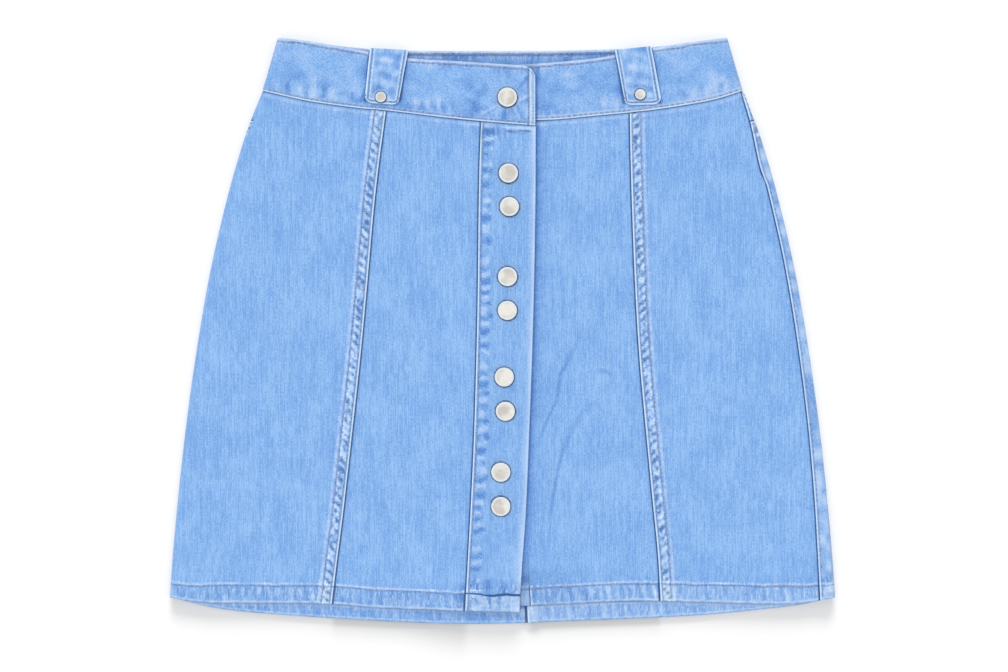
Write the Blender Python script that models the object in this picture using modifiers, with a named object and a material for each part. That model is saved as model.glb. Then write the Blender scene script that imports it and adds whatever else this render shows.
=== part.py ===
"""Denim button-front skirt, fastened and laid flat on its back.

Metres, +Z up. The waist is towards +Y and the hem towards -Y, and the origin is under the middle of the
skirt's outline, on the surface that it lies on. Left and right are the wearer's, so right is at -X.

The body is a flattened tube of cloth. A place on it has a course, "down", from 0 at the waist seam to 1 at
the hem, and either a plan distance x or a "run": the cloth's own length from the side fold's outermost
line, positive over the front and negative under the back.
"""

import math
from collections import namedtuple

import bmesh
import bpy
from mathutils import Vector

MM = 0.001

# Thicknesses of the sewn cloth.
WALL = 1.2 * MM
HEM_WALL = 2.4 * MM
BAND_WALL = 2.2 * MM
PLACKET_WALL = 1.8 * MM
LOOP_WALL = 1.8 * MM
FELL_STEP = 0.8 * MM  # how far a flat-felled seam stands up

# Sewing sizes.
SEAM_GAP = 0.3 * MM  # between neighbouring pieces
LAYER_GAP = 0.4 * MM  # between a piece and what lies on it
FELL_WIDTH = 9.0 * MM
EDGE_RUN = 0.7 * MM  # the width in which a raised edge falls away
EDGE_DROP = 0.4 * MM  # how much a folded edge is rounded
HEM_DEPTH = 13.5 * MM
FOLD_ROOM = 0.8 * MM  # least radius left open inside a fold
BODY_LENGTH = 380.0 * MM  # along the side
YOKE_SIDE_DOWN = 0.058
YOKE_CENTRE_DOWN = 0.15
YOKE_FLAT_FROM = 0.94  # past this share of the half width the yoke's seam runs level

# How the layers lie on each other.
BAND_RISE = 0.9 * MM  # the waistband's face above the panels'
UNDER_RISE = 0.6 * MM  # the under placket's face above the panels'
PANEL_LIFT = 2.0 * MM  # the right centre panel climbs this much to its placket
PANEL_LIFT_WIDTH = 55.0 * MM
LAP_START = -69.0 * MM  # the right waistband starts to climb here
LAP_LEVEL = -24.0 * MM  # and lies on the left one from here
LAP_END = 24.6 * MM
LAP_CORNER = 3.5 * MM
UNDERLAP_END = -14.2 * MM
RIGHT_SEAM_INSET = 2.0 * MM  # the right side seam lies just over the fold

# The long lines of the body, course by course, in millimetres.
Course = namedtuple(
    "Course",
    "down half_width right_princess placket_seam placket_edge left_princess left_seam_inset height",
)
COURSES = (
    Course(0.00, 180.0, -87.2, -16.0, 24.8, 95.2, 1.0, 5.6),
    Course(0.05, 187.9, -89.9, -16.7, 24.7, 95.6, 2.6, 5.3),
    Course(0.10, 194.7, -92.6, -17.3, 24.6, 96.1, 3.5, 5.0),
    Course(0.20, 205.7, -97.6, -17.7, 24.2, 97.3, 4.2, 4.7),
    Course(0.35, 219.0, -103.3, -18.3, 23.1, 99.8, 6.0, 4.6),
    Course(0.50, 229.0, -108.6, -19.7, 21.4, 103.2, 7.3, 4.6),
    Course(0.65, 237.1, -114.2, -21.8, 19.5, 108.1, 8.7, 4.6),
    Course(0.80, 243.5, -119.9, -24.4, 17.3, 113.0, 10.0, 4.8),
    Course(0.90, 247.0, -124.1, -26.3, 14.8, 116.3, 11.1, 5.3),
    Course(1.00, 249.8, -128.4, -28.2, 12.6, 118.3, 11.8, 6.0),
)
UNDER_SEAM = 20.5 * MM  # joins the under placket to the left centre panel
UNDER_INSET = 2.5 * MM  # the under placket ends this far inside the upper one's seam

# Where the waistband's top, the waist seam and the hem lie, in millimetres towards the waist. "share" is
# the place across, from -1 at the right fold to 1 at the left one.
Across = namedtuple("Across", "share band_top waist_seam hem")
RIGHT_FRONT = (
    Across(-1.0, 219.0, 179.2, -200.6),
    Across(-0.9, 217.0, 175.0, -204.3),
    Across(-0.8, 214.3, 171.2, -204.7),
    Across(-0.6, 208.1, 166.2, -205.2),
    Across(-0.4, 203.2, 163.5, -208.0),
    Across(-0.2, 201.3, 159.6, -209.9),
    Across(0.0, 199.1, 156.2, -211.3),
    Across(0.2, 196.8, 152.7, -212.0),
)
LEFT_FRONT = (
    Across(-0.2, 196.8, 158.9, -207.6),
    Across(0.0, 197.7, 157.2, -207.4),
    Across(0.2, 199.9, 157.4, -205.6),
    Across(0.4, 202.9, 160.3, -203.9),
    Across(0.6, 208.6, 164.3, -204.8),
    Across(0.8, 214.2, 169.8, -205.6),
    Across(0.9, 216.4, 173.6, -204.5),
    Across(1.0, 219.0, 179.2, -200.6),
)
BACK = (
    Across(-1.0, 219.0, 179.2, -200.6),
    Across(-0.9, 217.0, 175.3, -207.0),
    Across(-0.8, 214.6, 172.3, -210.8),
    Across(-0.6, 210.3, 169.0, -214.9),
    Across(-0.4, 208.2, 167.4, -217.5),
    Across(-0.2, 207.8, 166.8, -218.7),
    Across(0.0, 207.7, 166.6, -219.0),
    Across(0.2, 208.5, 167.0, -218.0),
    Across(0.4, 209.5, 167.8, -215.9),
    Across(0.6, 211.2, 169.2, -213.0),
    Across(0.8, 214.6, 172.3, -209.0),
    Across(0.9, 216.8, 175.3, -206.2),
    Across(1.0, 219.0, 179.2, -200.6),
)
BAND_HALF_WIDTH_TOP = 168.6 * MM
BAND_HALF_WIDTH_SEAM = 180.3 * MM
CENTRE_BACK_SHIFT = 18.0 * MM  # the centre back seam leans this far to the left by the hem

# Soft diagonal creases in the front, each a trough from one end to the other, in millimetres.
Crease = namedtuple("Crease", "x1 y1 x2 y2 width depth")
CREASES = (
    Crease(66, 8, 34, -92, 15, 0.9),
    Crease(54, -62, 38, -140, 13, 0.8),
    Crease(96, -30, 76, -28, 9, 0.5),
    Crease(72, 70, 52, 30, 16, 0.35),
    Crease(-52, 40, -64, -60, 22, 0.35),
    Crease(-178, -20, -152, -110, 26, 0.4),
    Crease(168, 60, 150, -40, 24, 0.4),
)

# Wide belt loops: their corners in plan, in millimetres.
Loop = namedtuple("Loop", "name top_right top_left bottom_right bottom_left")
LOOPS = (
    Loop("belt_loop_right", (-99.4, 211.4), (-70.9, 209.8), (-103.1, 170.2), (-77.2, 168.4)),
    Loop("belt_loop_left", (84.4, 210.0), (111.7, 212.8), (91.2, 168.2), (118.7, 169.0)),
)
LOOP_CORNER = 4.5 * MM
LOOP_FLAT = 0.32  # the share of the loop, from its end, that is snapped down flat
LOOP_BOW = 1.2 * MM  # how far the rest stands off the waistband
LOOP_BEND = 0.4 * MM  # inner radius in which the loop turns over the waistband's edge
LOOP_DROP = 2.6 * MM  # how far it then hangs down

# Snap caps, with their places in millimetres.
Snap = namedtuple("Snap", "name x y")
PLACKET_SNAPS = (
    Snap("snap_placket_1", 4.1, 118.3),
    Snap("snap_placket_2", 4.7, 93.6),
    Snap("snap_placket_3", 4.1, 40.3),
    Snap("snap_placket_4", 3.5, 14.8),
    Snap("snap_placket_5", 1.9, -35.4),
    Snap("snap_placket_6", 2.3, -60.2),
    Snap("snap_placket_7", -1.1, -105.9),
    Snap("snap_placket_8", -1.1, -131.4),
)
WAIST_SNAP = Snap("snap_waistband", 4.1, 175.3)
LOOP_SNAPS = (Snap("snap_loop_right", -91.1, 175.3), Snap("snap_loop_left", 103.1, 176.8))
SNAP_RADIUS = 7.6 * MM
SNAP_HEIGHT = 2.5 * MM
LOOP_SNAP_RADIUS = 4.1 * MM
LOOP_SNAP_HEIGHT = 1.8 * MM
SNAP_PROFILE = ((0, 1), (0.5, 0.96), (0.82, 0.82), (1, 0.4), (0.92, 0), (0, 0))
SNAP_STEPS = 24

DENIM_COLOUR = (0.27, 0.49, 0.86, 1)
NICKEL_COLOUR = (0.78, 0.75, 0.70, 1)


# Curves and spacing.


def smooth_line(knots):
    """A function that runs smoothly through (place, value) knots."""
    places = [place for place, _ in knots]
    values = [value for _, value in knots]
    last = len(knots) - 1
    slopes = [
        (values[min(i + 1, last)] - values[max(i - 1, 0)]) / (places[min(i + 1, last)] - places[max(i - 1, 0)])
        for i in range(last + 1)
    ]

    def at(place):
        i = max(0, min(last - 1, sum(place > p for p in places) - 1))
        width = places[i + 1] - places[i]
        t = (place - places[i]) / width
        if t < 0 or t > 1:
            end = 0 if t < 0 else last
            return values[end] + slopes[end] * (place - places[end])
        rise = values[i + 1] - values[i]
        bend_in = slopes[i] * width - rise
        bend_out = rise - slopes[i + 1] * width
        return values[i] + t * rise + t * (1 - t) * ((1 - t) * bend_in + t * bend_out)

    return at


def column(table, key, name):
    """One column of a table in millimetres, as a smooth function of the key column."""
    return smooth_line([(getattr(row, key), getattr(row, name) * MM) for row in table])


def ease(t):
    """0 below 0, 1 above 1, and smooth between."""
    t = max(0.0, min(1.0, t))
    return t * t * (3 - 2 * t)


def between(a, b, steps):
    return [a + (b - a) * k / steps for k in range(steps + 1)]


half_width = column(COURSES, "down", "half_width")
panel_height = column(COURSES, "down", "height")
right_princess = column(COURSES, "down", "right_princess")
left_princess = column(COURSES, "down", "left_princess")
placket_seam = column(COURSES, "down", "placket_seam")
placket_edge = column(COURSES, "down", "placket_edge")
left_seam_inset = column(COURSES, "down", "left_seam_inset")
BAND_TOP = {table: column(table, "share", "band_top") for table in (RIGHT_FRONT, LEFT_FRONT, BACK)}
WAIST_SEAM = {table: column(table, "share", "waist_seam") for table in (RIGHT_FRONT, LEFT_FRONT, BACK)}
HEM = {table: column(table, "share", "hem") for table in (RIGHT_FRONT, LEFT_FRONT, BACK)}


# Where a piece of the flattened tube lies.


def around_fold(run, half, height):
    """(distance from the middle, height, outward direction) at a run round a fold of that height."""
    radius = height / 2
    quarter = radius * math.pi / 2
    if abs(run) >= quarter:
        up = 1 if run > 0 else -1
        return half - radius - (abs(run) - quarter), radius + up * radius, (0, up)
    out = (math.cos(run / radius), math.sin(run / radius))
    return half - radius + radius * out[0], radius + radius * out[1], out


def run_to(x, half, height):
    """The run over the front at which the cloth is at plan distance x."""
    radius = height / 2
    inset = half - abs(x)
    if inset >= radius:
        return inset - radius + radius * math.pi / 2
    return radius * math.acos(1 - inset / radius)


def crease_depth(x, y):
    """How far the creases press the front down at a place."""
    depth = 0.0
    for crease in CREASES:
        start = Vector((crease.x1, crease.y1)) * MM
        along = Vector((crease.x2, crease.y2)) * MM - start
        offset = Vector((x, y)) - start
        share = offset.dot(along) / along.length_squared
        away = (offset - along * share).length / (crease.width * MM)
        depth += crease.depth * MM * ease(1 - away) * ease(2 - abs(4 * share - 2))
    return depth


def panel_lift(x, down):
    """How far the right front climbs towards its placket."""
    return PANEL_LIFT * ease(1 - (placket_seam(down) - x) / PANEL_LIFT_WIDTH)


def body_y(table, x, down):
    share = x / half_width(down)
    return WAIST_SEAM[table](share) + down * (HEM[table](share) - WAIST_SEAM[table](share))


def body_spot(side, run, down):
    """(point on the panels' outer face, outward direction), with side -1 for right and 1 for left."""
    away, z, (out_x, out_z) = around_fold(run, half_width(down), panel_height(down))
    x = side * away
    if run < 0:
        table = BACK
    else:
        table = RIGHT_FRONT if side < 0 else LEFT_FRONT
    y = body_y(table, x, down)
    if run > 0:
        z -= crease_depth(x, y) * ease(run / FELL_WIDTH - 1)
    return Vector((x, y, z)), Vector((side * out_x, 0, out_z))


def front_spot(table, x, down):
    """A point on the front panels' outer face, away from the folds."""
    y = body_y(table, x, down)
    z = panel_height(down) - crease_depth(x, y)
    if table is RIGHT_FRONT:
        z += panel_lift(x, down)
    return Vector((x, y, z))


def course_at(table, x, y):
    """The course of a plan place."""
    down = 0.5
    for _ in range(6):
        share = x / half_width(down)
        seam = WAIST_SEAM[table](share)
        down = (seam - y) / (seam - HEM[table](share))
    return down


# Building solids.

collection = None


def start_scene():
    global collection
    for old in list(bpy.data.objects):
        bpy.data.objects.remove(old)
    collection = bpy.data.collections.new("denim_skirt")
    bpy.context.scene.collection.children.link(collection)


def material(name, colour, metallic, roughness):
    made = bpy.data.materials.new(name)
    made.use_nodes = True
    shader = made.node_tree.nodes["Principled BSDF"]
    shader.inputs["Base Color"].default_value = colour
    shader.inputs["Metallic"].default_value = metallic
    shader.inputs["Roughness"].default_value = roughness
    made.diffuse_color = colour
    return made


def cloth_wall(name, rows, finish):
    """A closed wall: a flat grid, extruded once, whose points go to the (outer, inner) pairs in rows."""
    bm = bmesh.new()
    across, along = len(rows[0]) - 1, len(rows) - 1
    bmesh.ops.create_grid(bm, x_segments=across, y_segments=along, size=0.5)
    outer_points = list(bm.verts)
    extruded = bmesh.ops.extrude_face_region(bm, geom=bm.faces[:], use_keep_orig=True)
    inner_points = [made for made in extruded["geom"] if isinstance(made, bmesh.types.BMVert)]
    for layer, points in enumerate((outer_points, inner_points)):
        for point in points:
            i = round((point.co.x + 0.5) * across)
            j = round((point.co.y + 0.5) * along)
            point.co = rows[j][i][layer]
    bmesh.ops.recalc_face_normals(bm, faces=bm.faces[:])
    if bm.calc_volume(signed=True) < 0:
        bmesh.ops.reverse_faces(bm, faces=bm.faces[:])
    mesh = bpy.data.meshes.new(name)
    bm.to_mesh(mesh)
    bm.free()
    mesh.shade_smooth()
    mesh.set_sharp_from_angle(angle=math.radians(35))
    mesh.materials.append(finish)
    made = bpy.data.objects.new(name, mesh)
    collection.objects.link(made)
    return made


# Courses. The same ones are used on both sides of a seam, so that its edges stay parallel.

TOP_DOWN = SEAM_GAP / 2 / BODY_LENGTH
HEM_DOWN = 1 - HEM_DEPTH / BODY_LENGTH
HEM_EDGE_DOWN = HEM_DOWN - EDGE_RUN / BODY_LENGTH
BELOW_YOKE = (0.085, 0.12, 0.16, 0.2, 0.25, 0.31, 0.37, 0.43, 0.49, 0.55, 0.61, 0.67, 0.73, 0.79, 0.84, 0.88, 0.92)
YOKE_GAP_DOWN = SEAM_GAP / 2 / BODY_LENGTH
YOKE_DOWNS = [TOP_DOWN, YOKE_SIDE_DOWN / 2, YOKE_SIDE_DOWN]
LOWER_DOWNS = [YOKE_SIDE_DOWN, *BELOW_YOKE, HEM_EDGE_DOWN, HEM_DOWN, 1.0]
FRONT_DOWNS = YOKE_DOWNS + LOWER_DOWNS[1:]


def hem_thickness(down):
    """Extra wall on the inner side where the hem is turned up."""
    return (HEM_WALL - WALL) * ease((down - HEM_EDGE_DOWN) / (HEM_DOWN - HEM_EDGE_DOWN))


def fell(distance):
    """How far a felled seam stands up at a distance from its edge: a low step with a rounded edge."""
    if distance < FELL_WIDTH:
        return FELL_STEP - EDGE_DROP * ease(1 - distance / EDGE_RUN)
    return FELL_STEP * ease(1 - (distance - FELL_WIDTH) / EDGE_RUN)


# The front.


def side_seam_run(side, down):
    """The run of the side seam, where the back's edge lies over the front's."""
    inset = RIGHT_SEAM_INSET if side < 0 else left_seam_inset(down)
    return run_to(half_width(down) - inset, half_width(down), panel_height(down))


def along_run(side, out):
    """The direction in which the cloth goes on as its run grows."""
    return Vector((-side * out.z, 0, abs(out.x)))


def front_side(name, side, princess, finish):
    """A side front: from the side seam to the princess seam, where it is felled over the centre panel."""
    rows = []
    for down in FRONT_DOWNS:
        start = side_seam_run(side, down)
        end = run_to(princess(down), half_width(down), panel_height(down)) - SEAM_GAP / 2
        flat_end = end - FELL_WIDTH - EDGE_RUN
        runs = between(start, start + FELL_WIDTH, 5)
        runs += between(start + FELL_WIDTH, flat_end, 9)[1:]
        runs += [end - FELL_WIDTH, end - EDGE_RUN, end]
        row = []
        for run in runs:
            point, out = body_spot(side, run, down)
            if run == start:
                point += along_run(side, out) * SEAM_GAP / 2
            outer = point + out * fell(end - run)
            row.append((outer, point - out * (WALL + hem_thickness(down))))
        rows.append(row)
    return cloth_wall(name, rows, finish)


def front_centre(name, table, near, far, finish):
    """A centre front between two long lines, from the one on the right to the one on the left."""
    rows = []
    for down in FRONT_DOWNS:
        row = []
        for x in between(near(down) + SEAM_GAP / 2, far(down) - SEAM_GAP / 2, 13):
            outer = front_spot(table, x, down)
            row.append((outer, outer - Vector((0, 0, WALL + hem_thickness(down)))))
        rows.append(row)
    return cloth_wall(name, rows, finish)


def placket(name, table, near, far, rise, wall, finish):
    """A straight strip of folded cloth. rise is its face's height above the panels'."""
    rows = []
    for down in FRONT_DOWNS:
        start, end = near(down) + SEAM_GAP / 2, far(down)
        row = []
        for x in [start, start + EDGE_RUN, *between(start, end, 4)[1:-1], end - EDGE_RUN, end]:
            drop = EDGE_DROP if x in (start, end) else 0
            face = Vector((x, body_y(table, x, down), panel_height(down) + rise))
            row.append((face - Vector((0, 0, drop)), face - Vector((0, 0, wall))))
        rows.append(row)
    return cloth_wall(name, rows, finish)


def under_placket_start(down):
    return placket_seam(down) + UNDER_INSET


def under_placket_seam(down):
    return UNDER_SEAM - SEAM_GAP / 2


def under_placket_join(down):
    return UNDER_SEAM


UPPER_RISE = UNDER_RISE + LAYER_GAP + PLACKET_WALL


# The back.


def centre_back(down):
    return CENTRE_BACK_SHIFT * down


def back_runs(side, down):
    """Runs of a back panel, from the side seam round the fold to the centre back seam."""
    height = panel_height(down)
    quarter = height / 2 * math.pi / 2
    start = side_seam_run(side, down)
    middle = side * centre_back(down)
    end = -(half_width(down) - height / 2 - middle + quarter) + SEAM_GAP / 2
    over = [start, start - EDGE_RUN]
    over += between(over[-1], min(quarter, over[-1] * 0.9), 3)[1:] if side > 0 else []
    turn = between(over[-1], -quarter, 7)[1:]
    under = between(-quarter, end + FELL_WIDTH + EDGE_RUN, 8)[1:]
    return [*over, *turn, *under, end + FELL_WIDTH, end]


def back_wall(run, start, end, down):
    """(rise of the outer face, depth of the inner face) for the back.

    The side seam's fell fades out before the fold's outermost line. Under the skirt the cloth grows
    inwards, so that it lies flat."""
    radius = panel_height(down) / 2
    rise = fell(start - run) * ease(run / radius)
    depth = WALL + hem_thickness(down)
    if end is not None:
        depth += fell(run - end)
    if abs(run) < radius * math.pi / 2:
        depth = min(depth, radius - FOLD_ROOM)
    return rise, depth


def yoke_down(x, down):
    """The course of the yoke's seam: level at the sides and deeper at the centre back."""
    away = min(1.0, abs(x) / half_width(down) / YOKE_FLAT_FROM)
    return YOKE_CENTRE_DOWN + (YOKE_SIDE_DOWN - YOKE_CENTRE_DOWN) * away


def yoke_row_down(x, at_side):
    """The course, at x, of the row that is at course at_side by the side seam."""
    seam = yoke_down(x, at_side) - YOKE_GAP_DOWN
    return TOP_DOWN + (seam - TOP_DOWN) * (at_side - TOP_DOWN) / (YOKE_SIDE_DOWN - TOP_DOWN)


def lower_row_down(x, at_side):
    share = (at_side - YOKE_SIDE_DOWN) / (HEM_EDGE_DOWN - YOKE_SIDE_DOWN)
    if share >= 1:
        return at_side
    seam = yoke_down(x, at_side) + YOKE_GAP_DOWN
    return seam + share * (HEM_EDGE_DOWN - seam)


def back_piece(name, side, downs, row_down, finish):
    """Half of the yoke or of the back below it, wrapped over the side fold to the side seam."""
    rows = []
    for at_side in downs:
        runs = back_runs(side, at_side)
        row = []
        for run in runs:
            x = body_spot(side, run, at_side)[0].x
            down = row_down(x, at_side)
            point, out = body_spot(side, run, down)
            point.x = x + side * (half_width(down) - half_width(at_side)) * ease(1 + run / FELL_WIDTH)
            if run == runs[0]:
                point -= along_run(side, out) * SEAM_GAP / 2
            rise, depth = back_wall(run, runs[0], runs[-1] if side > 0 else None, down)
            row.append((point + out * rise, point - out * depth))
        rows.append(row)
    return cloth_wall(name, rows, finish)


# The waistband.


def band_half_width(up):
    return BAND_HALF_WIDTH_SEAM + (BAND_HALF_WIDTH_TOP - BAND_HALF_WIDTH_SEAM) * up


BAND_HEIGHT = panel_height(0) + BAND_RISE
LAP_LIFT = BAND_WALL + LAYER_GAP
BAND_UPS = (0.0, 0.02, 0.25, 0.5, 0.75, 0.98, 1.0)


def band_y(table, x, up):
    share = x / band_half_width(up)
    seam = WAIST_SEAM[table](share) + SEAM_GAP
    return seam + up * (BAND_TOP[table](share) - seam)


def lap_lift(x):
    return LAP_LIFT * ease((x - LAP_START) / (LAP_LEVEL - LAP_START))


def band_pair(point, out, up):
    """Outer and inner points of the waistband, rounded along its folded edges."""
    drop = EDGE_DROP if up in (0.0, 1.0) else 0
    return point - out * drop, point - out * BAND_WALL


def band_from_side(side, up, steps, end):
    """Columns of a front waistband from the side fold, as (point, outward direction)."""
    quarter = BAND_HEIGHT / 2 * math.pi / 2
    spots = []
    for run in between(0, quarter, 4):
        away, z, (out_x, out_z) = around_fold(run, band_half_width(up), BAND_HEIGHT)
        z += SEAM_GAP / 2 if run == 0 else 0
        spots.append((side * away, z, Vector((side * out_x, 0, out_z))))
    flat_from = spots[-1][0]
    spots += [(x, BAND_HEIGHT, Vector((0, 0, 1))) for x in between(flat_from, end, steps)[1:]]
    return spots


def waistband_right_front(finish):
    """The front waistband that laps over, with a rounded upper corner at its free end."""
    rows = []
    for up in BAND_UPS:
        spots = band_from_side(-1, up, 18, LAP_END - LAP_CORNER)
        spots += [(LAP_END - LAP_CORNER * gap, BAND_HEIGHT, Vector((0, 0, 1))) for gap in (0.7, 0.4, 0.15, 0.0)]
        row = []
        for x, z, out in spots:
            corner = max(0.0, (x - LAP_END) / LAP_CORNER + 1)
            cut = LAP_CORNER * (1 - math.sqrt(1 - corner * corner))
            y = band_y(RIGHT_FRONT, x, up) - cut * up
            row.append(band_pair(Vector((x, y, z + lap_lift(x))), out, up))
        rows.append(row)
    return cloth_wall("waistband_right_front", rows, finish)


def waistband_left_front(finish):
    """The front waistband whose end lies under the lap."""
    rows = []
    for up in BAND_UPS:
        spots = band_from_side(1, up, 18, UNDERLAP_END)
        row = [
            band_pair(Vector((x, band_y(LEFT_FRONT, x, up), z)), out, up)
            for x, z, out in spots
        ]
        rows.append(row)
    return cloth_wall("waistband_left_front", rows, finish)


def waistband_back(finish):
    """The back waistband, from one side fold to the other under the fronts."""
    quarter = BAND_HEIGHT / 2 * math.pi / 2
    rows = []
    for up in BAND_UPS:
        turn = [around_fold(-run, band_half_width(up), BAND_HEIGHT) for run in between(0, quarter, 4)]
        turn[0] = (turn[0][0], turn[0][1] - SEAM_GAP / 2, turn[0][2])
        right = [(-away, z, Vector((-out[0], 0, out[1]))) for away, z, out in turn]
        left = [(away, z, Vector((out[0], 0, out[1]))) for away, z, out in reversed(turn)]
        middle = [(x, 0.0, Vector((0, 0, -1))) for x in between(right[-1][0], left[0][0], 22)[1:-1]]
        row = []
        for x, z, out in [*right, *middle, *left]:
            row.append(band_pair(Vector((x, band_y(BACK, x, up), z)), out, up))
        rows.append(row)
    return cloth_wall("waistband_back", rows, finish)


# Belt loops.


def loop_sections():
    """The loop's cross sections from its snapped end, as (share of its flat length, inner height, turn)."""
    seat = BAND_HEIGHT + SEAM_GAP
    sections = []
    for share in (0, 0.04, 0.11, LOOP_FLAT, 0.45, 0.58, 0.71, 0.84, 1.0):
        rise = ease((share - LOOP_FLAT) / 0.3) * ease((1 - share) / 0.3)
        sections.append((share, seat + LOOP_BOW * rise, 0.0))
    for turn in (30, 60, 90):
        sections.append((1.0, seat - LOOP_BEND * (1 - math.cos(math.radians(turn))), math.radians(turn)))
    sections.append((1.0, seat - LOOP_BEND - LOOP_DROP, math.radians(90)))
    return sections


def belt_loop(loop, finish):
    """A wide strap, snapped at its lower end, that turns over the waistband's top edge."""
    rows = []
    for share, height, turn in loop_sections():
        row = []
        for across in (0, 0.03, 0.09, 0.18, 0.5, 0.82, 0.91, 0.97, 1):
            bottom = Vector(loop.bottom_right).lerp(Vector(loop.bottom_left), across) * MM
            top = Vector(loop.top_right).lerp(Vector(loop.top_left), across) * MM
            width = (Vector(loop.bottom_left) - Vector(loop.bottom_right)).length * MM
            corner = max(0.0, 1 - min(across, 1 - across) * width / LOOP_CORNER)
            bottom.y += LOOP_CORNER * (1 - math.sqrt(1 - corner * corner))
            top.y -= LOOP_BEND + LOOP_WALL
            spot = bottom.lerp(top, share)
            out = Vector((0, math.sin(turn), math.cos(turn)))
            inner = Vector((spot.x, spot.y + LOOP_BEND * math.sin(turn), height))
            edge = EDGE_DROP if across in (0, 1) or share == 0 else 0
            row.append((inner + out * (LOOP_WALL - edge), inner))
        rows.append(row)
    return cloth_wall(loop.name, rows, finish)


# Snaps.


def snap_mesh(name, radius, height, finish):
    """The turned outline of a cap, from the top of its axis down its outer side and back to the axis."""
    mesh = bpy.data.meshes.new(name)
    points = [(radius * r, 0, height * h) for r, h in SNAP_PROFILE]
    mesh.from_pydata(points, [(i, i + 1) for i in range(len(points) - 1)], [])
    mesh.materials.append(finish)
    return mesh


def add_snap(snap, mesh, z):
    made = bpy.data.objects.new(snap.name, mesh)
    collection.objects.link(made)
    made.location = (snap.x * MM, snap.y * MM, z + SEAM_GAP)
    screw = made.modifiers.new("turn", "SCREW")
    screw.steps = SNAP_STEPS
    screw.render_steps = SNAP_STEPS
    screw.use_merge_vertices = True
    screw.merge_threshold = 0.00005
    screw.use_smooth_shade = True
    return made


def seat_height(snap):
    """The highest that the placket stands under a snap's cap."""
    ends = (snap.y * MM - SNAP_RADIUS, snap.y * MM + SNAP_RADIUS)
    downs = [course_at(RIGHT_FRONT, snap.x * MM, y) for y in ends]
    return max(panel_height(down) for down in downs) + UPPER_RISE


def main():
    start_scene()
    denim = material("denim", DENIM_COLOUR, 0.0, 0.85)
    nickel = material("nickel", NICKEL_COLOUR, 1.0, 0.3)

    front_side("front_side_right", -1, right_princess, denim)
    front_side("front_side_left", 1, left_princess, denim)
    front_centre("front_centre_right", RIGHT_FRONT, right_princess, placket_seam, denim)
    front_centre("front_centre_left", LEFT_FRONT, under_placket_join, left_princess, denim)
    placket("placket_right", RIGHT_FRONT, placket_seam, placket_edge, UPPER_RISE, PLACKET_WALL, denim)
    placket(
        "placket_left", LEFT_FRONT, under_placket_start, under_placket_seam, UNDER_RISE, PLACKET_WALL, denim
    )
    for side, name in ((-1, "right"), (1, "left")):
        back_piece("yoke_" + name, side, YOKE_DOWNS, yoke_row_down, denim)
        back_piece("back_" + name, side, LOWER_DOWNS, lower_row_down, denim)
    waistband_right_front(denim)
    waistband_left_front(denim)
    waistband_back(denim)
    for loop in LOOPS:
        belt_loop(loop, denim)

    cap = snap_mesh("snap_cap", SNAP_RADIUS, SNAP_HEIGHT, nickel)
    for snap in PLACKET_SNAPS:
        add_snap(snap, cap, seat_height(snap))
    add_snap(WAIST_SNAP, cap, BAND_HEIGHT + LAP_LIFT)
    small_cap = snap_mesh("loop_snap_cap", LOOP_SNAP_RADIUS, LOOP_SNAP_HEIGHT, nickel)
    for snap in LOOP_SNAPS:
        add_snap(snap, small_cap, BAND_HEIGHT + SEAM_GAP + LOOP_WALL)


main()
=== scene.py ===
# %% [markdown]
# # A denim skirt, fastened and laid flat
# The skirt is a tube of cloth that lies on its back: two side fronts, two centre fronts that fasten with a
# placket, two backs with a yoke, and a waistband with two wide belt loops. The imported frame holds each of
# these as a plain solid. This lesson gives every one of them its finished cloth: folded edges, felled
# seams, puckered hems, washed denim, thread and metal. Everything is in metres, in the frame's own place.

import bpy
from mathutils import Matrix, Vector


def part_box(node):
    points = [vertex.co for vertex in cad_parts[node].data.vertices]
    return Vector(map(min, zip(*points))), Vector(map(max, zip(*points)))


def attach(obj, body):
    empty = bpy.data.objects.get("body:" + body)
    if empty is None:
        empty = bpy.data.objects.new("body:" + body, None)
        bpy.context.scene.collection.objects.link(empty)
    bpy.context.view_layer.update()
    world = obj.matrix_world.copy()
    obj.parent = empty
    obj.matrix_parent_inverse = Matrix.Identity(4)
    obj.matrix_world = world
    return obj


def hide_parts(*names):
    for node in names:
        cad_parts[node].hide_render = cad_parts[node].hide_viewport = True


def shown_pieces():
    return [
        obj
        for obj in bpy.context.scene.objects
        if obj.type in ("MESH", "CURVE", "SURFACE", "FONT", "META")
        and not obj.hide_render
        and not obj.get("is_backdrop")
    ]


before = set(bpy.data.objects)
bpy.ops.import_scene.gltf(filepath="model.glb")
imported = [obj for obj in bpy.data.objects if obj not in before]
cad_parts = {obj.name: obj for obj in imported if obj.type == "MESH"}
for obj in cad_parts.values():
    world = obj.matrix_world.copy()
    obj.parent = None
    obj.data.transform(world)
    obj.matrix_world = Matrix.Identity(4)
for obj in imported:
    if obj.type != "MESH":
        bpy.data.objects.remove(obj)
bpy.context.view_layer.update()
print("nodes in the frame:", len(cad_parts))

# %% The modules and the unit
import math
from collections import namedtuple

import bmesh
import bpy
import numpy as np
from mathutils import Vector

MM = 0.001

# %% [markdown]
# ## The long lines of the skirt
# A pattern cutter draws a skirt from a few long lines: the side folds, the princess seams and the placket.
# They could be drawn as curves by hand, but then the pieces on either side of a seam would not meet. Here
# each line is one column of a short table, read through a smooth curve, and both neighbours use the same
# column. A place on the body has a course, "down", from 0 at the waist seam to 1 at the hem.

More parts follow.
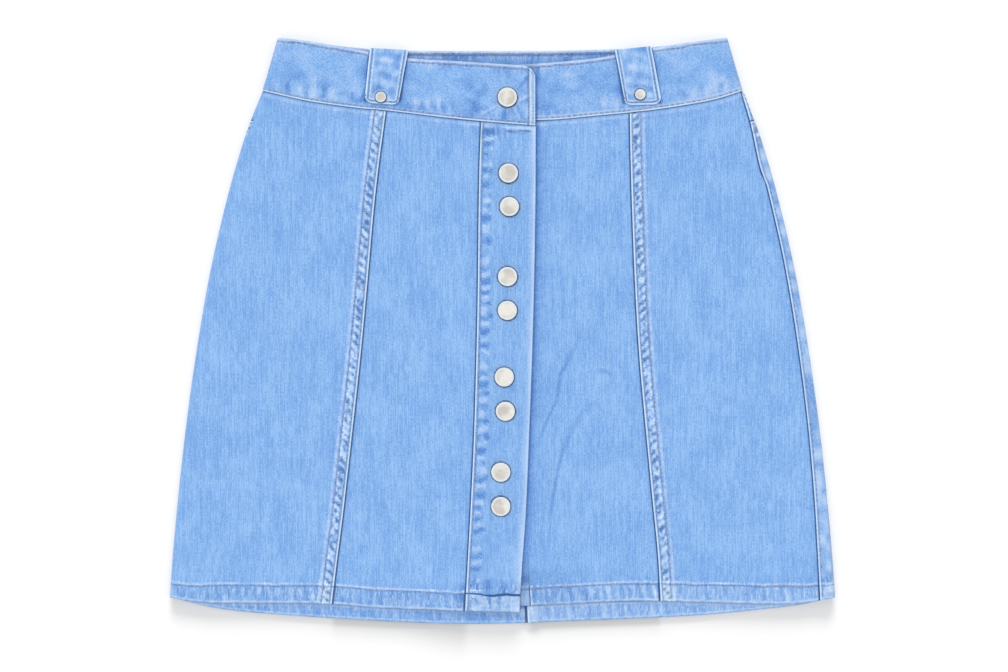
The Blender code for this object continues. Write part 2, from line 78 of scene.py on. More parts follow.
# %% Courses of the body, in millimetres
BODY_LENGTH = 380.0 * MM
Course = namedtuple(
    "Course",
    "down half_width right_princess placket_seam placket_edge left_princess left_seam_inset height",
)
COURSES = (
    Course(0.00, 180.0, -87.2, -16.3, 24.9, 95.2, 1.0, 5.6),
    Course(0.05, 187.9, -89.7, -17.0, 24.9, 95.5, 3.0, 5.3),
    Course(0.10, 194.7, -92.2, -17.6, 24.9, 95.9, 4.1, 5.0),
    Course(0.20, 205.7, -96.4, -18.2, 24.5, 97.0, 5.0, 4.7),
    Course(0.35, 219.0, -101.3, -18.8, 23.5, 99.2, 6.5, 4.6),
    Course(0.50, 229.0, -106.5, -20.0, 21.9, 102.5, 7.2, 4.6),
    Course(0.65, 237.1, -112.5, -21.7, 19.8, 107.4, 8.1, 4.6),
    Course(0.80, 243.5, -118.7, -24.3, 17.4, 112.6, 9.5, 4.8),
    Course(0.90, 247.0, -123.3, -26.3, 14.8, 116.2, 10.8, 5.3),
    Course(1.00, 249.8, -127.9, -28.2, 12.6, 118.4, 11.6, 6.0),
)

# %% Lines across: the waistband's top, the waist seam and the hem, in millimetres towards the waist
Across = namedtuple("Across", "share band_top waist_seam hem")
RIGHT_FRONT = (
    Across(-1.0, 219.2, 179.2, -200.6),
    Across(-0.9, 217.5, 175.0, -204.3),
    Across(-0.8, 214.9, 171.2, -204.7),
    Across(-0.6, 208.8, 166.2, -204.9),
    Across(-0.5, 205.8, 164.7, -205.6),
    Across(-0.4, 203.5, 162.6, -207.8),
    Across(-0.2, 201.3, 158.2, -209.8),
    Across(0.0, 199.1, 154.8, -211.2),
    Across(0.2, 196.8, 152.1, -211.9),
)
LEFT_FRONT = (
    Across(-0.2, 197.2, 158.9, -207.6),
    Across(0.0, 198.2, 157.2, -207.4),
    Across(0.2, 200.4, 157.4, -205.3),
    Across(0.4, 203.5, 160.6, -203.1),
    Across(0.6, 209.2, 164.2, -204.1),
    Across(0.8, 214.9, 169.6, -205.4),
    Across(0.9, 217.1, 173.4, -204.7),
    Across(1.0, 219.2, 179.2, -200.6),
)
BACK = (
    Across(-1.0, 219.2, 179.2, -200.6),
    Across(-0.9, 217.3, 175.3, -207.1),
    Across(-0.8, 215.0, 172.3, -211.0),
    Across(-0.6, 211.4, 169.0, -215.1),
    Across(-0.4, 209.9, 167.4, -218.1),
    Across(-0.2, 209.6, 166.8, -220.3),
    Across(0.0, 209.6, 166.6, -220.6),
    Across(0.2, 209.6, 167.0, -218.6),
    Across(0.4, 210.5, 167.8, -216.7),
    Across(0.6, 211.8, 169.2, -214.1),
    Across(0.8, 214.9, 172.3, -209.3),
    Across(0.9, 217.0, 175.3, -206.2),
    Across(1.0, 219.2, 179.2, -200.6),
)


# %% A smooth curve through the rows of a table
def smooth_line(places, values):
    """A function that runs smoothly through the values, and straight on past either end."""
    places, values = np.array(places), np.array(values)
    last = len(places) - 1
    before = np.clip(np.arange(last + 1) - 1, 0, last)
    after = np.clip(np.arange(last + 1) + 1, 0, last)
    slopes = (values[after] - values[before]) / (places[after] - places[before])

    def at(place):
        place = np.asarray(place, float)
        i = np.clip(np.searchsorted(places, place) - 1, 0, last - 1)
        width = places[i + 1] - places[i]
        t = (place - places[i]) / width
        rise = values[i + 1] - values[i]
        bend_in = slopes[i] * width - rise
        bend_out = rise - slopes[i + 1] * width
        inside = values[i] + t * rise + t * (1 - t) * ((1 - t) * bend_in + t * bend_out)
        early = values[0] + slopes[0] * (place - places[0])
        late = values[last] + slopes[last] * (place - places[last])
        return np.where(place < places[0], early, np.where(place > places[last], late, inside))

    return at


def column(table, key, name):
    """A smooth line, in metres, through one column of a table."""
    return smooth_line([getattr(row, key) for row in table], [getattr(row, name) * MM for row in table])


half_width = column(COURSES, "down", "half_width")
panel_height = column(COURSES, "down", "height")
right_princess = column(COURSES, "down", "right_princess")
left_princess = column(COURSES, "down", "left_princess")
placket_seam = column(COURSES, "down", "placket_seam")
placket_edge = column(COURSES, "down", "placket_edge")
left_seam_inset = column(COURSES, "down", "left_seam_inset")
BAND_TOP = {table: column(table, "share", "band_top") for table in (RIGHT_FRONT, LEFT_FRONT, BACK)}
WAIST_SEAM = {table: column(table, "share", "waist_seam") for table in (RIGHT_FRONT, LEFT_FRONT, BACK)}
HEM = {table: column(table, "share", "hem") for table in (RIGHT_FRONT, LEFT_FRONT, BACK)}
print("half width at the hem:", float(half_width(1.0)), "m")

# %% [markdown]
# ## How the layers lie
# Cloth has a thickness, and a sewn edge is several layers thick. These are the sizes of the sewing, and
# how high each layer lies on the one under it. A felled seam is a strip where both edges are tucked in
# and stitched down twice, so it stands a little proud of the panel.

# %% Sewing sizes
WALL = 1.2 * MM
HEM_WALL = 2.4 * MM
BAND_WALL = 2.2 * MM
PLACKET_WALL = 1.8 * MM
LOOP_WALL = 1.8 * MM
SEAM_GAP = 0.3 * MM
LAYER_GAP = 0.4 * MM
FELL_STEP = 0.8 * MM
FELL_WIDTH = 9.0 * MM
EDGE_RUN = 0.7 * MM
EDGE_ROLL = 0.75 * MM  # radius of a single folded edge
BAND_ROLL = 1.0 * MM  # radius of the waistband's and the hem's folds
HEM_DEPTH = 13.5 * MM
FOLD_ROOM = 0.8 * MM

# %% Rises, laps and seams
BAND_RISE = 0.9 * MM
UNDER_RISE = 0.6 * MM
UPPER_RISE = UNDER_RISE + LAYER_GAP + PLACKET_WALL
PANEL_LIFT = 2.0 * MM
PANEL_LIFT_WIDTH = 55.0 * MM
LAP_START = -69.0 * MM
LAP_LEVEL = -24.0 * MM
LAP_END = 24.6 * MM
LAP_CORNER = 9.0 * MM
LAP_LIFT = BAND_WALL + LAYER_GAP
UNDERLAP_END = -14.2 * MM
RIGHT_SEAM_INSET = 2.0 * MM
UNDER_SEAM = 20.5 * MM
UNDER_INSET = 2.5 * MM
CENTRE_BACK_SHIFT = 18.0 * MM
YOKE_SIDE_DOWN = 0.058
YOKE_CENTRE_DOWN = 0.15
YOKE_FLAT_FROM = 0.94
BAND_HALF_WIDTH_TOP = 168.6 * MM
BAND_HALF_WIDTH_SEAM = 180.3 * MM
BAND_HEIGHT = float(panel_height(0)) + BAND_RISE

# %% [markdown]
# ## Unevenness that is the same each time
# Nothing sewn and washed is regular. Random numbers would change the skirt with every run, so the
# unevenness comes from a fixed scatter of values that are blended smoothly, and from waves whose spacing
# and height wander. "ease" is the smooth step that most of the soft forms below are made of.


# %% Soft steps, windows and wandering waves
def ease(t):
    """A smooth step from 0 to 1 as t goes from 0 to 1."""
    t = np.clip(t, 0.0, 1.0)
    return t * t * (3 - 2 * t)


def window(distance, start, end, soft):
    """1 between start and end, fading over the soft width at either side."""
    return ease((distance - start) / soft + 0.5) * ease((end - distance) / soft + 0.5)


def stripe(distance, start, end, soft):
    """A window whose start, end and softness are in millimetres."""
    return window(distance, start * MM, end * MM, soft * MM)


def fading(distance, reach):
    """1 up to a line, and fading away beyond it."""
    return np.exp(-np.maximum(distance, 0) / reach)


def bell(off, width):
    """1 on a line, and fading away on both sides of it."""
    return np.exp(-((off / width) ** 2))


def scatter(i, j, seed):
    """A value from 0 to 1 that looks random, the same each time for the same three numbers."""
    wave = np.sin(i * 127.1 + j * 311.7 + seed * 74.7) * 4375.85453
    return wave - np.floor(wave)


def unevenness(x, y, seed):
    """Smooth patches from -1 to 1, about one to each unit of x and y."""
    x, y = np.broadcast_arrays(np.asarray(x, float), np.asarray(y, float))
    i, j = np.floor(x), np.floor(y)
    u, v = ease(x - i), ease(y - j)
    low = scatter(i, j, seed) * (1 - u) + scatter(i + 1, j, seed) * u
    high = scatter(i, j + 1, seed) * (1 - u) + scatter(i + 1, j + 1, seed) * u
    return 2 * (low * (1 - v) + high * v) - 1


def mottle(x, across, y, along, seed):
    """Smooth patches from -1 to 1, about so many millimetres across in x and along in y."""
    return unevenness(x / (across * MM), y / (along * MM), seed)


def waver(place, spacing, seed):
    """A smooth change from -1 to 1 along a line, about one in so many millimetres."""
    return unevenness(place / (spacing * MM), 0.5, seed)


def uneven_wave(place, spacing, seed):
    """A wave from -1 to 1 whose spacing and height wander."""
    turns = place / spacing
    phase = turns + 0.55 * unevenness(turns * 0.43, 0.5, seed)
    height = 0.72 + 0.38 * unevenness(turns * 0.61, 3.5, seed)
    return np.cos(2 * np.pi * phase) * height


def patches(along, across, spacing, lean, seed):
    """Blotches from -1 to 1 that follow each other along a seam, leaning across it."""
    wave = uneven_wave(along + lean * across, spacing, seed)
    broken = unevenness(along / (0.42 * spacing), across / (0.3 * spacing), seed + 1)
    return np.clip(0.62 * wave + 0.68 * broken, -1, 1)


def along_path(x, y, corners):
    """(share of the way along a bent line, signed distance from it), with corners in millimetres."""
    corners = np.array(corners, float) * MM
    steps = np.diff(corners, axis=0)
    lengths = np.hypot(steps[:, 0], steps[:, 1])
    reached = np.append(0, np.cumsum(lengths))
    share, off = np.zeros(x.shape), np.full(x.shape, np.inf)
    for corner, step, length, before in zip(corners, steps, lengths, reached):
        from_x, from_y = x - corner[0], y - corner[1]
        t = np.clip((from_x * step[0] + from_y * step[1]) / length**2, 0, 1)
        away = np.hypot(from_x - t * step[0], from_y - t * step[1])
        nearer = away < np.abs(off)
        share = np.where(nearer, (before + t * length) / reached[-1], share)
        off = np.where(nearer, away * np.where(from_x * step[1] > from_y * step[0], 1, -1), off)
    return share, off


# %% [markdown]
# ## Where the cloth lies
# The body is a flattened tube. A place is given by its course and its "run", the cloth's own length from
# the outermost line of the side fold: positive over the front and negative under the back. The front also
# has its main creases, each a soft trough from one point to another.

# %% The main creases of the front, in millimetres
Crease = namedtuple("Crease", "x1 y1 x2 y2 width depth")
CREASES = (
    Crease(66, 8, 34, -92, 15, 0.9),
    Crease(54, -62, 38, -140, 13, 0.8),
    Crease(96, -30, 76, -28, 9, 0.5),
    Crease(72, 70, 52, 30, 16, 0.35),
    Crease(-52, 40, -64, -60, 22, 0.35),
    Crease(-178, -20, -152, -110, 26, 0.4),
    Crease(168, 60, 150, -40, 24, 0.4),
)


def crease_depth(x, y):
    """How far the creases press the front down."""
    depth = np.zeros(np.broadcast(x, y).shape)
    for crease in CREASES:
        start = np.array((crease.x1, crease.y1)) * MM
        line = np.array((crease.x2, crease.y2)) * MM - start
        share = ((x - start[0]) * line[0] + (y - start[1]) * line[1]) / (line @ line)
        away = np.hypot(x - start[0] - share * line[0], y - start[1] - share * line[1])
        depth += crease.depth * MM * ease(1 - away / (crease.width * MM)) * ease(2 - abs(4 * share - 2))
    return depth


# %% The flattened tube
def run_to(x, half, height):
    """The run over the front at which the cloth is at plan distance x."""
    radius = height / 2
    inset = half - np.abs(x)
    on_fold = radius * np.arccos(np.clip(1 - inset / radius, -1, 1))
    return np.where(inset >= radius, inset - radius + radius * math.pi / 2, on_fold)


def body_y(table, x, down):
    """The y of a course at x, between the waist seam and the hem of a table."""
    share = x / half_width(down)
    return WAIST_SEAM[table](share) + down * (HEM[table](share) - WAIST_SEAM[table](share))


def from_hem(down):
    """The length of cloth between a course and the hem."""
    return (1 - down) * BODY_LENGTH


def stack(x, y, z):
    """Points, or directions, from their three parts."""
    return np.stack(np.broadcast_arrays(x, y, z), axis=-1).astype(float)


def upright(x, way=1):
    """Directions straight up, or straight down, one for each value of x."""
    return stack(0 * x, 0 * x, way + 0 * x)


def body_face(side, run, down):
    """(points on the panels' outer face, outward directions), with side -1 for right and 1 for left."""
    half, radius = half_width(down), panel_height(down) / 2
    quarter = radius * math.pi / 2
    turn = np.clip(run / radius, -math.pi / 2, math.pi / 2)
    x = side * (half - radius + radius * np.cos(turn) - np.maximum(np.abs(run) - quarter, 0))
    front = RIGHT_FRONT if side < 0 else LEFT_FRONT
    y = np.where(run < 0, body_y(BACK, x, down), body_y(front, x, down))
    z = radius + radius * np.sin(turn) - crease_depth(x, y) * ease(run / FELL_WIDTH - 1)
    return stack(x, y, z), stack(side * np.cos(turn), 0 * x, np.sin(turn))


def front_face(table, x, down):
    """(points, outward directions) on the centre fronts; the right one climbs to its placket."""
    y = body_y(table, x, down)
    z = panel_height(down) - crease_depth(x, y)
    if table is RIGHT_FRONT:
        z = z + PANEL_LIFT * ease(1 - (placket_seam(down) - x) / PANEL_LIFT_WIDTH)
    return stack(x, y, z), upright(x)


# %% [markdown]
# ## Rows and columns
# A flat piece of cloth is a grid. Where the cloth turns over an edge or a seam the grid needs points every
# few tenths of a millimetre, and in the middle of a panel every few millimetres are enough. So the columns
# next to an edge keep a fixed distance from it, and the ones between share what is left.

# %% Distances from an edge at which the grid has a line
EDGE_STEPS = np.array((0, 0.08, 0.22, 0.45, 0.75, 1.1, 1.5, 2.0)) * MM
BAND_STEPS = np.array((2.6, 3.2, 3.9, 4.6, 5.3, 6.0, 6.7, 7.3, 7.9, 8.5, 9.0, 9.35, 9.7, 10.6, 12.0)) * MM
HEM_STEPS = np.append(EDGE_STEPS, np.arange(2.8, 17.5, 0.9) * MM)
FINE_HEM_STEPS = np.append(EDGE_STEPS, np.arange(2.8, 17.5, 0.45) * MM)
SEWN_STEPS = np.append(EDGE_STEPS, BAND_STEPS)


def spread(start, end, from_start, from_end, spacing):
    """Places from start to end: at fixed distances from either, and about a spacing apart between."""
    start, end = np.asarray(start, float), np.asarray(end, float)
    left = start[..., None] + np.sign(end - start)[..., None] * from_start
    right = end[..., None] - np.sign(end - start)[..., None] * from_end[::-1]
    gap = right[..., :1] - left[..., -1:]
    steps = max(2, int(np.ceil(np.abs(gap).max() / spacing)))
    middle = left[..., -1:] + gap * np.linspace(0, 1, steps + 1)[1:-1]
    return np.concatenate([left, middle, right], axis=-1)


TOP_STEPS = np.array((0.15, 0.5, 0.9, 1.3, 1.8, 2.5, 3.4, 4.6, 6.0)) * MM
FRONT_DOWNS = (spread(0.0, BODY_LENGTH, TOP_STEPS, HEM_STEPS, 1.8 * MM) / BODY_LENGTH)[:, None]
HEM_DOWN = 1 - HEM_DEPTH / BODY_LENGTH
HEM_EDGE_DOWN = HEM_DOWN - EDGE_RUN / BODY_LENGTH
print("courses in a front panel:", len(FRONT_DOWNS))


# %% The rounded fall of a folded edge
def roll(distance, radius):
    """How far a rounded edge lies below the face at a distance from it."""
    reach = 1 - np.clip(distance / radius, 0, 1)
    return radius * (1 - np.sqrt(1 - reach * reach))


def fell(distance):
    """How far a felled seam stands up: a low step with a rounded folded edge."""
    return FELL_STEP * (1 - ease((distance - FELL_WIDTH) / EDGE_RUN)) - roll(distance, EDGE_ROLL)


def hem_thickness(down):
    """How much thicker than the panel the turned-up hem is."""
    return (HEM_WALL - WALL) * ease((down - HEM_EDGE_DOWN) / (HEM_DOWN - HEM_EDGE_DOWN))


# %% [markdown]
# ## Wear and painted shade
# Denim is dyed only on the outside of its yarns, so every high place that rubs in the wash turns pale and
# every hollow keeps its blue. The pale and deep places sit exactly on the puckers, so one function makes
# both: it lifts the cloth and marks it. Some marks are painted light and shade instead. Painted shadow lies
# in the ditch beside a seam, along a fold's outer line, beside the placket, the loops and the lap's end,
# round the caps, in the creases, along the placket's hem, on the under placket and on the back band's
# inner face. Painted light lies on the crease ridges and just below the front's hem. The marks are stored
# on the mesh's points as "fade" (worn to white, and the painted light), "deep" (kept blue, and painted
# shade), "line" (dark dye, and the painted shadow in a ditch beside a seam), "rub" and "streak" (where
# fine slanting or upright puckers are) and "inside" (the paler inner face). The denim finish reads them.

# %% The marks of a piece of cloth
MARKS = ("fade", "deep", "line", "rub", "streak")


class WearAndShade:
    """The worn marks and painted light and shade of a face of cloth, and how far its points are lifted. New
    cloth has none.
    """

    def __init__(self, shape):
        for mark in (*MARKS, "lift"):
            setattr(self, mark, np.zeros(shape))


def wear_edge(wear_and_shade, distance, along, width, strength, seed):
    """A folded edge, rubbed almost white."""
    worn = 0.92 + 0.12 * waver(along, 2.6, seed)
    turned_away = window(distance, -width, 0.2 * MM, 0.25 * MM)
    shape = window(distance, -width, width, 0.4 * MM) - 0.4 * turned_away
    wear_and_shade.fade += strength * worn * shape


def ditch_shade_and_dye(wear_and_shade, distance, width=0.8 * MM, strength=1.0):
    """The dark line beside a seam, on the piece that lies lower: kept dye with painted shadow in the ditch.
    """
    wear_and_shade.line += strength * window(distance, -width, width, 0.5 * MM)
    wear_and_shade.deep += 0.35 * strength * fading(distance, 1.9 * MM)


def wear_puckers(wear_and_shade, distance, along, across, reach, strength, seed):
    """Soft pale and deep ripples that die away from a seam."""
    ripple = patches(along, across, 7.5 * MM, 0.3, seed) * fading(distance, reach)
    wear_and_shade.fade += strength * np.maximum(ripple, 0)
    wear_and_shade.deep += strength * np.maximum(-ripple, 0)
    wear_and_shade.lift += 0.12 * MM * ripple


# %% A felled seam's wear, from its folded edge inwards
FIRST_ROW, SECOND_ROW = 1.85 * MM, 8.2 * MM  # the two rows of stitches


def wear_felled(wear_and_shade, distance, along, spacing, seed):
    """Pale and deep blotches between two rows of stitches, and a paler line beyond the second row."""
    blotch = patches(along, distance, spacing, 0.75, seed)
    pale, dark = ease(0.15 + 1.5 * blotch), ease(-0.15 - 2.1 * blotch)
    wear_edge(wear_and_shade, distance, along, 1.12 * MM, 1.0, seed + 2)
    between = stripe(distance, 2.4, 7.6, 0.8)
    beyond = stripe(distance, 9.0, 11.1, 1.0)
    shoulder = stripe(distance, 5.8, 7.5, 0.8)
    ditch = stripe(distance, 11.6, 14.5, 2.0)
    broken = 0.75 + 0.35 * mottle(along, 5.1, distance, 3, seed + 3)
    wear_and_shade.fade += between * (0.1 + 0.46 * pale) + 0.4 * beyond * broken + 0.13 * shoulder
    wear_and_shade.deep += between * (0.18 + 0.84 * dark) + 0.12 * ditch
    wear_and_shade.line += between * (0.02 + 0.5 * dark)
    wear_and_shade.rub += 0.75 * between + 0.4 * stripe(distance, 8, 12, 1.4)
    for row, dark_dye in ((FIRST_ROW, 0.24), (SECOND_ROW, 0.16)):
        furrow = window(distance, row - 0.6 * MM, row + 0.6 * MM, 0.5 * MM)
        wear_and_shade.line += dark_dye * furrow
        wear_and_shade.fade *= 1 - 2 * dark_dye * furrow
        wear_and_shade.lift -= 0.14 * MM * furrow
    wear_and_shade.lift += 0.17 * MM * between * blotch


# %% A hem's wear, from its folded edge up to its stitches
HEM_STITCH = 13.3 * MM


def hem_wander(x):
    """How far the hem's stitches stray from their line, to stay level where the fold rises at the sides."""
    at_side = 3.2 * MM * ease((np.abs(x) - 212 * MM) / (36 * MM))
    return at_side + 0.45 * MM * waver(x, 9, 61) + 0.25 * MM * waver(x, 4, 62)


def near_hem(down):
    """1 close to the hem, where the seams are thickest and the left front's folded edge shows."""
    return ease((17 * MM - from_hem(down)) / (2.5 * MM))


def wear_hem(wear_and_shade, up, x, seed):
    """Slanting puckers below the hem's stitches, a pale line above them and a worn edge."""
    ridge = uneven_wave(x + 0.2 * up, 7.2 * MM, seed)
    broken = mottle(x, 2.4, up, 15, seed + 1)
    shape = np.clip(0.55 * ridge + 0.45 * broken, -1, 1)
    crest = ease((ridge - 0.66) / 0.26) * (0.7 + 0.5 * mottle(x, 11, up, 5, seed + 6))
    row = up + hem_wander(x) - HEM_STITCH
    band = window(up, 1.6 * MM, 2 * HEM_STITCH, 1.6 * MM) * ease(0.2 - row / (1.6 * MM))
    above = stripe(row, 0.5, 2.3, 0.6) * (0.75 + 0.35 * uneven_wave(x, 3.1 * MM, seed + 3))
    past = stripe(row, 0, 7, 6)
    worn = 0.6 + 0.5 * waver(x, 2.0, seed + 2)
    knots = ease(0.5 - 1.2 * waver(x, 1.7, seed + 4)) * stripe(up, -2, 0.9, 0.6)
    wear_and_shade.fade += 0.7 * worn * stripe(up, -2, 1.9, 1.4)
    wear_and_shade.fade += band * (0.05 + 0.2 * ease(0.1 + 1.3 * shape) + 0.3 * crest) + 0.46 * above
    hollow = np.maximum(-shape, 0)
    wear_and_shade.deep += band * (0.04 + 0.56 * ease(0.1 - 1.3 * shape)) + 0.34 * past * hollow
    wear_and_shade.line += 0.34 * stripe(row, -0.6, 0.5, 0.5) + 0.3 * knots
    paler = ease(x / (60 * MM) + 0.5)  # the left half is worn a little more
    wear_and_shade.fade += 0.07 * band * paler
    wear_and_shade.deep += 0.1 * band * (1 - paler)
    wear_and_shade.line += 0.04 * band
    wear_and_shade.streak += 0.5 * band + 0.5 * above + 0.3 * past
    wear_and_shade.lift += 0.26 * MM * band * shape


# %% A panel's wear just under the waistband, and the painted shadow under the band
def waist_wear_and_shade(wear_and_shade, fall, x, seed):
    """Where the waist seam pulls at the cloth, with painted shadow in the ditch under the band. fall is the
    distance below the seam.
    """
    broken = mottle(x, 4.5, fall, 9, seed)
    below = stripe(fall, 1.6, 8, 5)
    ditch_shade_and_dye(wear_and_shade, fall, 0.7 * MM, 0.5)
    wear_and_shade.fade += 0.2 * stripe(fall, 1.4, 4.0, 1.2)
    wear_and_shade.deep += below * (0.02 + 0.36 * np.maximum(broken, 0))
    wear_and_shade.fade += 0.2 * below * np.maximum(-broken, 0)
    wear_and_shade.streak += 0.25 * below
    wear_and_shade.lift += 0.15 * MM * below * broken


# %% The outermost line of a fold, worn paler and greyed with painted shade
def fold_wear_and_shade(wear_and_shade, run, radius):
    """A fold seen edge on, where run is the cloth's own distance from its outermost line. The grey there is
    painted shade, and the paler tone is wear.
    """
    reach = window(run, -radius, 0.95 * radius, 0.5 * radius)
    wear_and_shade.line += 0.24 * reach
    wear_and_shade.fade += 0.3 * reach


# %% [markdown]
# ## From a grid to a wall of cloth
# A flat grid is the natural start for cloth, and Blender's grid operator makes one. Extruding it once
# gives a closed slab, whose two faces are then moved to the outer and the inner face of the piece. A
# Solidify modifier would give the same thickness everywhere, but a hem and a felled seam are thicker than
# the panel, so both faces are placed on purpose. The mesh also gets a map in metres, "cloth", whose
# second direction follows the warp yarns.

# %% Make a wall, with its marks and its cloth map
Cloth = namedtuple("Cloth", "node piece outer out keys")
SHARP_ANGLE = 48  # an edge between faces that turn by more degrees is drawn sharp


def shaped(bm, rows, columns):
    """The row, column and layer of each point of an extruded grid."""
    flat = np.array([point.co[:] for point in bm.verts])
    i = np.rint((flat[:, 0] + 0.5) * (columns - 1)).astype(int)
    j = np.rint((flat[:, 1] + 0.5) * (rows - 1)).astype(int)
    return j, i, flat[:, 2] < -0.5


def in_scene(name, data):
    """A new object in the scene."""
    made = bpy.data.objects.new(name, data)
    bpy.context.scene.collection.objects.link(made)
    return made


def mesh_piece(name, bm):
    """A new object in the scene, with the bmesh as its mesh."""
    mesh = bpy.data.meshes.new(name)
    bm.to_mesh(mesh)
    bm.free()
    return in_scene(name, mesh)


def wall(name, outer, inner, wear_and_shade, inner_wear_and_shade, bare, grain):
    """A closed wall between two faces. bare is 1 where the inner face shows the cloth's pale back."""
    rows, columns = outer.shape[:2]
    bm = bmesh.new()
    bmesh.ops.create_grid(bm, x_segments=columns - 1, y_segments=rows - 1, size=0.5)
    skin = bmesh.ops.extrude_face_region(bm, geom=bm.faces[:], use_keep_orig=True)
    lower = [part for part in skin["geom"] if isinstance(part, bmesh.types.BMVert)]
    bmesh.ops.translate(bm, verts=lower, vec=(0, 0, -1))
    j, i, under = shaped(bm, rows, columns)
    for point, place in zip(bm.verts, np.where(under[:, None], inner[j, i], outer[j, i])):
        point.co = place
    bmesh.ops.recalc_face_normals(bm, faces=bm.faces[:])
    if bm.calc_volume(signed=True) < 0:
        bmesh.ops.reverse_faces(bm, faces=bm.faces[:])
    piece = mesh_piece(name + "_cloth", bm)
    mesh = piece.data
    marks = {
        mark: np.where(under, getattr(inner_wear_and_shade, mark)[j, i], getattr(wear_and_shade, mark)[j, i])
        for mark in MARKS
    }
    marks["inside"] = np.where(under, np.broadcast_to(bare, outer.shape[:2])[j, i], 0.0)
    for mark, values in marks.items():
        layer = mesh.attributes.new(mark, "FLOAT", "POINT")
        layer.data.foreach_set("value", np.clip(values, 0, 1).astype(np.float32))
    corners = np.empty(len(mesh.loops), np.int32)
    mesh.loops.foreach_get("vertex_index", corners)
    grain = np.stack(np.broadcast_arrays(*grain), axis=-1)[j, i][corners]
    mesh.uv_layers.new(name="cloth").uv.foreach_set("vector", grain.astype(np.float32).ravel())
    mesh.shade_smooth()
    mesh.set_sharp_from_angle(angle=math.radians(SHARP_ANGLE))
    print(name, "has", 2 * len(mesh.polygons), "triangles")
    return piece


# %% Lift a face along its own outward direction, and finish a piece
def lifted(points, out, wear_and_shade):
    return points + out * wear_and_shade.lift[..., None]


def finished(name, faces, out, wear_and_shade, grain, finish, keys, bare=0.0, inner_wear_and_shade=None):
    """A piece of cloth between two faces. The inner one has no marks unless they are given."""
    outer, inner = faces
    piece = wall(name, outer, inner, wear_and_shade, inner_wear_and_shade or WearAndShade(outer.shape[:2]), bare, grain)
    piece.data.materials.append(finish)
    return Cloth(name, piece, outer, out, keys)


# %% [markdown]
# ## The denim finish
# Washed denim is pale blue warp over white weft. From a step away the eye sees thin vertical slubs, soft
# clouds, and the worn and deep places. The finish mixes these from stretched noise on the cloth map, and
# adds a fine twill and the slubs as bump. An image could do the same, but noise holds up at any distance
# and needs no file. The colours are named as seen in full light and divided by how brightly it shines.

# %% Small helpers for building a finish
LIGHT_LEVEL = 1.13  # light that a flat, face-up surface gets, against 1 for a plain white card


def seen(red, green, blue, light=LIGHT_LEVEL):
    """The surface colour that looks like this screen colour, from 0 to 255, in so much light."""
    linear = [((v / 255 + 0.055) / 1.055) ** 2.4 for v in (red, green, blue)]
    return (*(min(1.0, v / light) for v in linear), 1.0)


def put(socket, value):
    """Join a socket to a node's output, or set it to a plain value."""
    if isinstance(value, bpy.types.NodeSocket):
        socket.id_data.links.new(value, socket)
    else:
        socket.default_value = value


def node(tree, kind, inputs=None, **settings):
    """A new node of a kind, with its settings and its inputs."""
    made = tree.nodes.new(kind)
    for name, value in settings.items():
        setattr(made, name, value)
    for name, value in (inputs or {}).items():
        put(made.inputs[name], value)
    return made


def new_finish(name):
    """(a new material, its node tree, the main shader's inputs)"""
    finish = bpy.data.materials.new(name)
    finish.use_nodes = True
    return finish, finish.node_tree, finish.node_tree.nodes["Principled BSDF"].inputs


def blend_colour(tree, factor, first, second):
    made = tree.nodes.new("ShaderNodeMix")
    made.data_type = "RGBA"
    for index, value in ((0, factor), (6, first), (7, second)):
        put(made.inputs[index], value)
    return made.outputs[2]


def reckon(tree, operation, *values):
    """The output of a sum, product or other operation on values."""
    made = tree.nodes.new("ShaderNodeMath")
    made.operation = operation
    for index, value in enumerate(values):
        put(made.inputs[index], value)
    return made.outputs[0]


def rescale(tree, value, low, high, to_low=0.0, to_high=1.0):
    """A value that goes smoothly from to_low to to_high while the first goes from low to high."""
    inputs = {"Value": value, "From Min": low, "From Max": high, "To Min": to_low, "To Max": to_high}
    return node(tree, "ShaderNodeMapRange", inputs, interpolation_type="SMOOTHSTEP").outputs[0]


def noise_on(tree, coordinates, across, along, detail=2.0, roughness=0.55, turn=0.0, twist=0.0):
    """Noise whose patches are across by along metres on the cloth map, turned by an angle."""
    inputs = {"Vector": coordinates, "Scale": (across, along, 1), "Rotation": (0, 0, turn)}
    place = node(tree, "ShaderNodeMapping", inputs, vector_type="TEXTURE").outputs[0]
    inputs = {"Vector": place, "Scale": 1.0, "Detail": detail, "Roughness": roughness, "Distortion": twist}
    return node(tree, "ShaderNodeTexNoise", inputs, noise_dimensions="2D").outputs[0]


# %% Denim
DEEP_BLUE, PALE_BLUE = seen(118, 166, 229), seen(156, 199, 249)
# the deep marks' blue and the line marks' dark stand for kept dye and painted shade alike
KEPT_BLUE_AND_SHADE = seen(88, 140, 213)
DARK_DYE_AND_SHADE = seen(56, 92, 146)
BACK_OF_CLOTH = seen(176, 197, 228)
TWILL_PITCH = 0.7 * MM
WORN_WHITE = (0.60, 0.79, 0.98, 1.0)  # a full pale blue, as a worn edge is turned away from the light


def mottled(tree, pattern, mask, strength):
    """(pale spots, deep spots) of a pattern where the mask allows them."""
    strong = reckon(tree, "MULTIPLY", mask, strength)
    pale = reckon(tree, "MULTIPLY", rescale(tree, pattern, 0.5, 0.65), strong)
    return pale, reckon(tree, "MULTIPLY", rescale(tree, pattern, 0.5, 0.35), strong)


